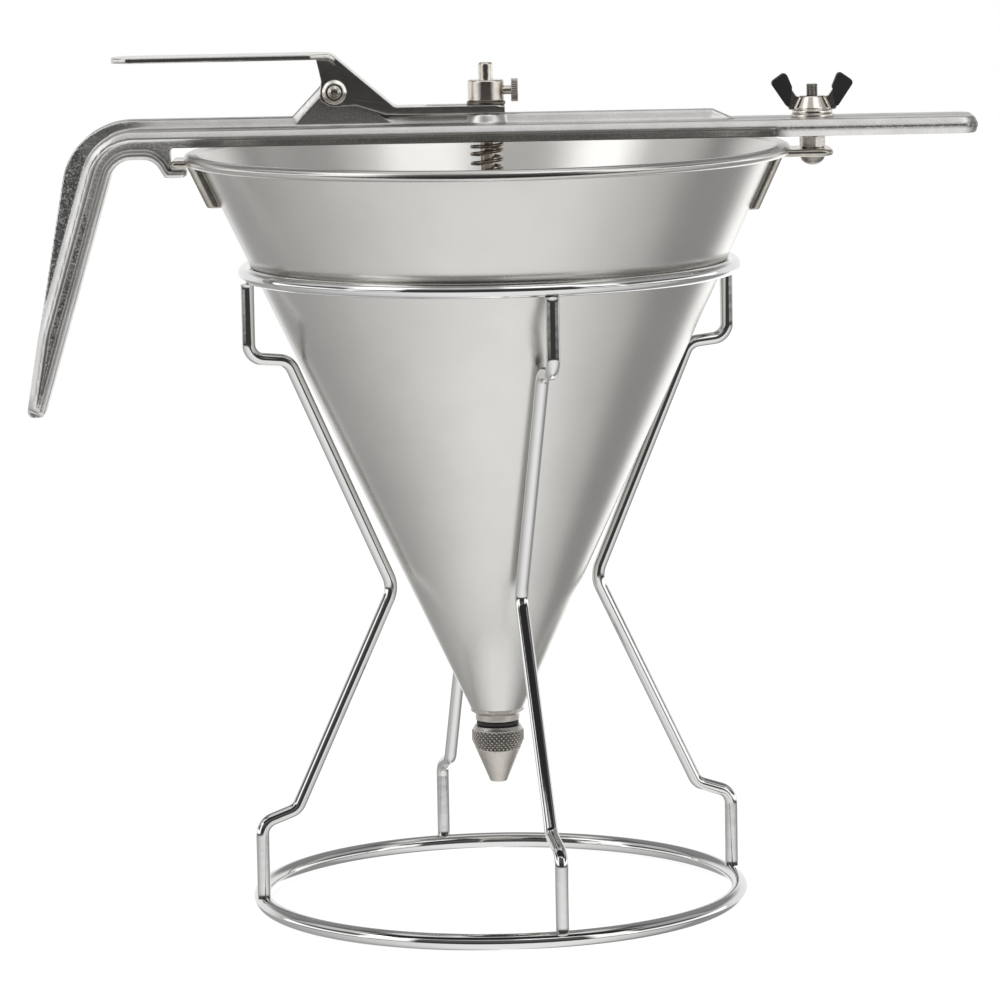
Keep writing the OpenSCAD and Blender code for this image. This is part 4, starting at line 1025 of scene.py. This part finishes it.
def ringProfile(inner, outer, low, high, edge):
    fine = min(edge, 0.2)
    return arced([(inner, low, fine), (outer, low, edge), (outer, high, edge), (inner, high, fine)], 0.0, 4)


def rodProfile(radius, low, high, lowEdge, highEdge, steps):
    return arced([(0, low, 0), (radius, low, lowEdge), (radius, high, highEdge), (0, high, 0)], 0.0, steps)


# Valve: rod, plunger, washers and collar
valve = Sizes(rod=2.5, rodLow=74.0193, rodTop=294.4058, collar=6.3, collarLow=281.0058, collarTop=288.4058,
              forkWasher=6.7, forkWasherLow=279.9058, hole=2.56, springWasher=6.3, springWasherLow=221.5558,
              springWasherTop=222.7558, pinZ=220.5058, pin=1.0, pinHalf=5.9, washerHole=2.55,
              plunger=[(0, 64.3136, 0), (3.0, 64.3136, 0.3), (7.0, 69.1193, 0.4), (7.0, 73.1193, 0.5),
                       (4.1, 76.0193, 0.6), (4.1, 81.0193, 0.5), (2.55, 81.0193, 0.1), (2.55, 73.9693, 0.1),
                       (0, 73.9693, 0)])
turnedPiece("valveRod", rodProfile(valve.rod, valve.rodLow, valve.rodTop, 0.2, 0.8, 6), rodFinish, 64,
            "valve", "turned_steel", "valve_rod")
turnedPiece("valvePlunger", arced(valve.plunger, 0.0, 4), nozzleFinish, 72,
            "valve", "turned_steel", "valve_plunger")
washerProfile = ringProfile(valve.washerHole, valve.springWasher, valve.springWasherLow,
                            valve.springWasherTop, 0.3)
turnedPiece("springWasher", washerProfile, rodFinish, 72, "valve", "turned_steel", "spring_washer")
turnedPiece("springPin", rodProfile(valve.pin, -valve.pinHalf, valve.pinHalf, 0.3, 0.3, 4), rodFinish, 32,
            "valve", "turned_steel", "spring_pin", (0, 0, valve.pinZ), "Y")
forkProfile = ringProfile(valve.hole, valve.forkWasher, valve.forkWasherLow, valve.collarLow, 0.25)
# Painted shade: the fork washer is near black, for the shadow line under the collar
turnedPiece("forkWasher", forkProfile, shadowFinish, 72, "collar", "dark_steel", "fork_washer")
collarProfile = ringProfile(valve.hole, valve.collar, valve.collarLow, valve.collarTop, 0.55)
turnedPiece("adjustingCollar", collarProfile, rodFinish, 96, "collar", "turned_steel", "adjusting_collar")

# Thumb screw of the collar, with a straight-knurled head
thumb = Sizes(z=284.7058, tipX=2.55, headX=8.7, headEnd=11.1, shank=1.5, head=4.0, segments=288, rowsLow=8.9,
              rowsHigh=10.9, rowStep=0.3,
              knurl=Sizes(low=8.75, high=11.05, fade=0.25, beyond=3.5, grooves=36.0, lead=0.0, depth=0.3))
thumbProfile = arced([(0, thumb.tipX, 0), (thumb.shank, thumb.tipX, 0.2), (thumb.shank, thumb.headX, 0.1),
                      (thumb.head, thumb.headX, 0.35), (thumb.head, thumb.headEnd, 0.35),
                      (0, thumb.headEnd, 0)], 0.0, 4)
thumbMesh = turned("thumbScrew", thumbProfile, rodFinish, thumb.segments,
                   rows=closeRows(thumb.rowsLow, thumb.rowsHigh, thumb.knurl.beyond, thumb.rowStep))
thumbMesh = stood(knurled(thumbMesh, rodFinish, thumb.knurl), 0, 0, thumb.z, "X")
place("thumbScrew", thumbMesh, "thumb_screw", "turned_steel", "thumb_screw")

# Return spring: a closed curl at each end
spring = Sizes(low=222.8058, radius=5.25, wire=1.3, sides=14, curls=12, curlSteps=40, endPitch=1.8, pitch=3.258,
               anchorZ=266.8058, keep=0.666)


def springPath(s):
    out = []
    for k in range((s.curls + 2) * s.curlSteps + 1):
        curl = k / s.curlSteps
        ends = min(curl, 1) + max(curl - s.curls - 1, 0)
        rise = s.endPitch * ends + s.pitch * min(max(curl - 1, 0), s.curls)
        a = 2 * pi * curl
        out.append((s.radius * cos(a), s.radius * sin(a), s.low + s.wire / 2 + rise))
    return out


springMesh = wireMesh("returnSpring", wirePath(springPath(spring)), spring.wire, spring.sides, springFinish)
springPiece = place("returnSpring", settle(springMesh, 60), "funnel", "spring_steel", "return_spring")
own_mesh(springPiece)
print("valve made")

# Clamp: bolt, nut, washers and wing nut
clamp = Sizes(
    x=112.8, bolt=2.0, hole=2.05, boltTop=284.8558, tabLow=260.2558, head=4.35, headHeight=3.5,
    headSteps=12, nutLow=262.8558, nutTop=267.0558, nutFlats=8.0, nutTurn=10.5, nutBevel=0.75,
    nutBevelHeight=0.45, lockWasher=3.7, lockTop=267.5558, washer=7.5, washerLow=273.4558,
    washerTop=274.6558, threadLow=274.0, threadPitch=0.7, threadDepth=0.3, threadSteep=2.4, threadStop=0.45,
    threadRow=0.09,
)
boltSpot = (clamp.x, 0, 0)


def boltMesh(c):
    dome = [(c.head * sin(a), c.tabLow - c.headHeight * cos(a))
            for a in (pi / 2 * k / c.headSteps for k in range(c.headSteps + 1))]
    profile = dome + arced([(c.head, c.tabLow), (c.bolt, c.tabLow, 0.1), (c.bolt, c.boltTop, 0.5),
                            (0, c.boltTop)], 0, 4, closed=False)[1:]
    rows = closeRows(c.threadLow, c.boltTop, 0.5, c.threadRow)
    mesh = turned("clampBolt", profile, shadedBoltFinish, 48, rows=rows)
    for v in mesh.vertices:  # a real thread above the bar
        z = v.co.z / mm
        if c.threadLow < z < c.boltTop - c.threadStop and v.co.x ** 2 + v.co.y ** 2 > 1e-9:
            phase = (z / c.threadPitch - atan2(v.co.y, v.co.x) / (2 * pi)) % 1.0
            scale = 1 - c.threadDepth * max(0.0, 1 - abs(phase - 0.5) * c.threadSteep) / c.bolt
            v.co.x *= scale
            v.co.y *= scale
    return stood(mesh, *boltSpot)


def nutProfile(c):
    corner = c.nutFlats / 2 / cos(pi / 6)
    land = corner - c.nutBevel
    return arced([(c.hole, c.nutLow, 0.2), (land, c.nutLow, 0), (corner, c.nutLow + c.nutBevelHeight, 0),
                  (corner, c.nutTop - c.nutBevelHeight, 0), (land, c.nutTop, 0),
                  (c.hole, c.nutTop, 0.2)], 0.0, 3)


place("clampBolt", boltMesh(clamp), "funnel", "bright_steel", "clamp_bolt")
turnedPiece("lockNut", nutProfile(clamp), brightFinish, 144, "funnel", "bright_steel", "lock_nut", boltSpot,
            flats=clamp.nutFlats, turn=clamp.nutTurn)
lockProfile = ringProfile(clamp.hole, clamp.lockWasher, clamp.nutTop, clamp.lockTop, 0.15)
# Painted shade: the lock washer is near black, for the shadowed gap between the nut and the bar
turnedPiece("lockWasher", lockProfile, shadowFinish, 72, "funnel", "bright_steel", "lock_washer", boltSpot)
clampProfile = ringProfile(clamp.hole, clamp.washer, clamp.washerLow, clamp.washerTop, 0.25)
turnedPiece("clampWasher", clampProfile, brightFinish, 96, "funnel", "bright_steel", "clamp_washer", boltSpot)

# Wing nut: a turned body with two stubs that carry the caps
wing = Sizes(z=274.6558, bore=2.08, foot=7.0, footHeight=1.3, groove=6.0, waist=6.4, top=4.5, height=6.2,
             half=1.7, voxel=0.16, smoothing=4, capVoxel=0.17, capSmoothing=4,
             stub=[(3.0, 1.2), (8.0, 1.4), (12.9, 10.58), (9.57, 12.3), (5.5, 6.2), (3.0, 5.6)])


def wingMesh(w):
    profile = arced([(w.bore, 0, 0), (w.foot, 0, 0.3), (w.foot, w.footHeight, 0.35),
                     (w.groove, w.footHeight + 0.25, 0.1), (w.waist, w.footHeight + 0.6, 0.2),
                     (w.top, w.height, 0.8), (w.bore, w.height, 0.1)], 0, 4)
    bm = bmesh.new()
    bm.from_mesh(turned("wingBody", profile, brightFinish, 96))
    for way in (-1, 1):
        slab(bm, [(way * x, z) for x, z in w.stub], w.half)
    body = stood(meshOf("wingBody", bm), clamp.x, 0, w.z)
    return dressed(remeshed("wingNut", body, w.voxel, w.smoothing), brightFinish)


place("wingNut", wingMesh(wing), "wing_nut", "bright_steel", "wing_nut")
capMesh = dressed(remeshed("wingCaps", cadCopy("wing_caps"), wing.capVoxel, wing.capSmoothing), plasticFinish)
place("wingCaps", capMesh, "wing_nut", "black_plastic", "wing_caps")
print("clamp made")

# Studio: a white sweep, and round it the dark room with soft boxes that the metal mirrors. Angles are in
# degrees: round the room from 0 towards the camera to 90 on the right, and up from the horizon. A light has
# its strength, its two edges and their soft width, and a fade has its start and end.
studio = Sizes(
    room=0.05,
    boxes=[(1.5, -78, -40, 8), (1.5, 9, 54, 6), (0.5, -38, 10, 6), (0.62, -104, -82, 5), (0.4, -115, -104, 4),
           (0.55, 58, 76, 6), (0.34, 76, 118, 6)], boxLift=(37, 62, 3), boxBow=0.00165,
    strips=[(1.3, -68, -42, 3), (1.3, 42, 64, 3)], stripLift=(-5, 35, 2),
    sides=[(1.3, -118, -65, 3), (1.3, 61, 126, 3)], sideLift=(-5, 8, 2),
    haze=0.06, hazeLift=(9, 60, 6), ceiling=0.8, ceilingFade=(58, 66),
    back=(96, 140), wall=0.92, upperWall=0.24, wallFade=(12, 24), wallTop=(52, 66),
    floor=1.05, floorTop=(-13, -8), leftFall=0.62, leftFade=(0, 150), rightFall=0.42, rightFade=(30, 100),
    bands=[(0.28, 99, 142, 7)], backLift=0.8, backRight=(140, 155), backLeft=(152, 166),
    sweepHalf=4.0, sweepZ=-0.0001, paleFloor=0.84, flag=[(-0.33, -0.31), (0.38, -0.12)], flagZ=0.24,
    lampAim=(0, 0, 0.15),  # a lamp has its place, size and power
    lamps=[("keyLamp", (-0.7, -1.0, 1.6), 1.0, 14.0), ("fillLamp", (1.0, -0.6, 1.3), 1.2, 7.0)],
)


def makeWorld(s):
    world = bpy.data.worlds.new("studio")
    scene.world = world
    f = Finish(world)
    spot = f.node("ShaderNodeTexCoord", output="Generated")
    x, y, z = f.node("ShaderNodeSeparateXYZ", {}, {0: spot}, ("X", "Y", "Z"))
    turn = x.maths("ARCTAN2", x, -y) * (180 / pi)
    lift = z.maths("ARCSINE", z) * (180 / pi)
    back = abs(turn).rise(*s.back)
    bow = lift + s.boxBow * turn * turn  # the inner wall of a cone mirrors one such level all round

    def lights(rows):
        return sum(strength * turn.between(*edges) for strength, *edges in rows)

    boxes = lights(s.boxes) * bow.between(*s.boxLift)
    strips = lights(s.strips) * lift.between(*s.stripLift) + lights(s.sides) * lift.between(*s.sideLift)
    haze = s.haze * (1 - back) * lift.between(*s.hazeLift) + s.ceiling * lift.rise(*s.ceilingFade)
    wall = s.wall - (s.wall - s.upperWall) * lift.rise(*s.wallFade)
    walls = back * wall * (1 - lift.rise(*s.wallTop))
    ground = s.floor - s.leftFall * (-turn).rise(*s.leftFade) - s.rightFall * turn.rise(*s.rightFade)
    ground = ground - lights(s.bands) + s.backLift * (turn.rise(*s.backRight) + (-turn).rise(*s.backLeft))
    low = 1 - lift.rise(*s.floorTop)
    shade = (s.room + haze + boxes + strips + walls) * (1 - low) + ground * low
    seen, through = f.node("ShaderNodeLightPath", output=("Is Camera Ray", "Is Transmission Ray"))
    sky = f.node("ShaderNodeBackground", {}, {
        "Color": (1, 1, 1, 1), "Strength": seen + through + (1 - seen - through) * shade})
    f.node("ShaderNodeOutputWorld", {}, {"Surface": sky})


def levelCard(name, left, front, right, rear, z, finish):
    corners = [(left, front, z), (right, front, z), (right, rear, z), (left, rear, z)]
    return linked(name, meshFrom(name, corners, [(0, 1, 2, 3)], finish))


def makeFloor(s):
    f, spot = newFinish("sweep")
    shade = f.tint(f.noise(spot, 9.0), (0.26, 0.26, 0.26), (0.27, 0.27, 0.27))
    matt = f.node("ShaderNodeBsdfDiffuse", {}, {"Color": shade})
    white = f.node("ShaderNodeEmission", {}, {"Color": (1, 1, 1, 1), "Strength": s.paleFloor})
    both = f.node("ShaderNodeAddShader", {}, {0: matt, 1: white})
    f.node("ShaderNodeOutputMaterial", {}, {"Surface": both})
    floor = levelCard("floor", -s.sweepHalf, -s.sweepHalf, s.sweepHalf, s.sweepHalf, s.sweepZ, f.owner)
    floor.visible_glossy = False  # metal mirrors the room's own ground


# A black card between the stand and the soft boxes, seen by the metal alone, keeps the lower wires dark
def makeFlag(s):
    f, spot = newFinish("blackCard")
    shade = f.tint(f.noise(spot, 30.0), (0.004, 0.004, 0.004), (0.008, 0.008, 0.008))
    f.closed(baseColor=shade, metallic=0.0, roughness=0.9)
    flag = levelCard("flag", *s.flag[0], *s.flag[1], s.flagZ, f.owner)
    flag.visible_camera = flag.visible_diffuse = flag.visible_shadow = flag.visible_transmission = False


def softLamp(name, spot, aim, size, power):
    data = bpy.data.lights.new(name, "AREA")
    data.shape = "DISK"
    data.size = size
    data.energy = power
    lamp = linked(name, data)
    lamp.location = spot
    lamp.rotation_euler = (Vector(aim) - Vector(spot)).to_track_quat("-Z", "Y").to_euler()
    lamp.visible_glossy = False


makeWorld(studio)
makeFloor(studio)
makeFlag(studio)
for name, spot, size, power in studio.lamps:
    softLamp(name, spot, studio.lampAim, size, power)
scene.view_settings.view_transform = "Standard"
print("studio made")
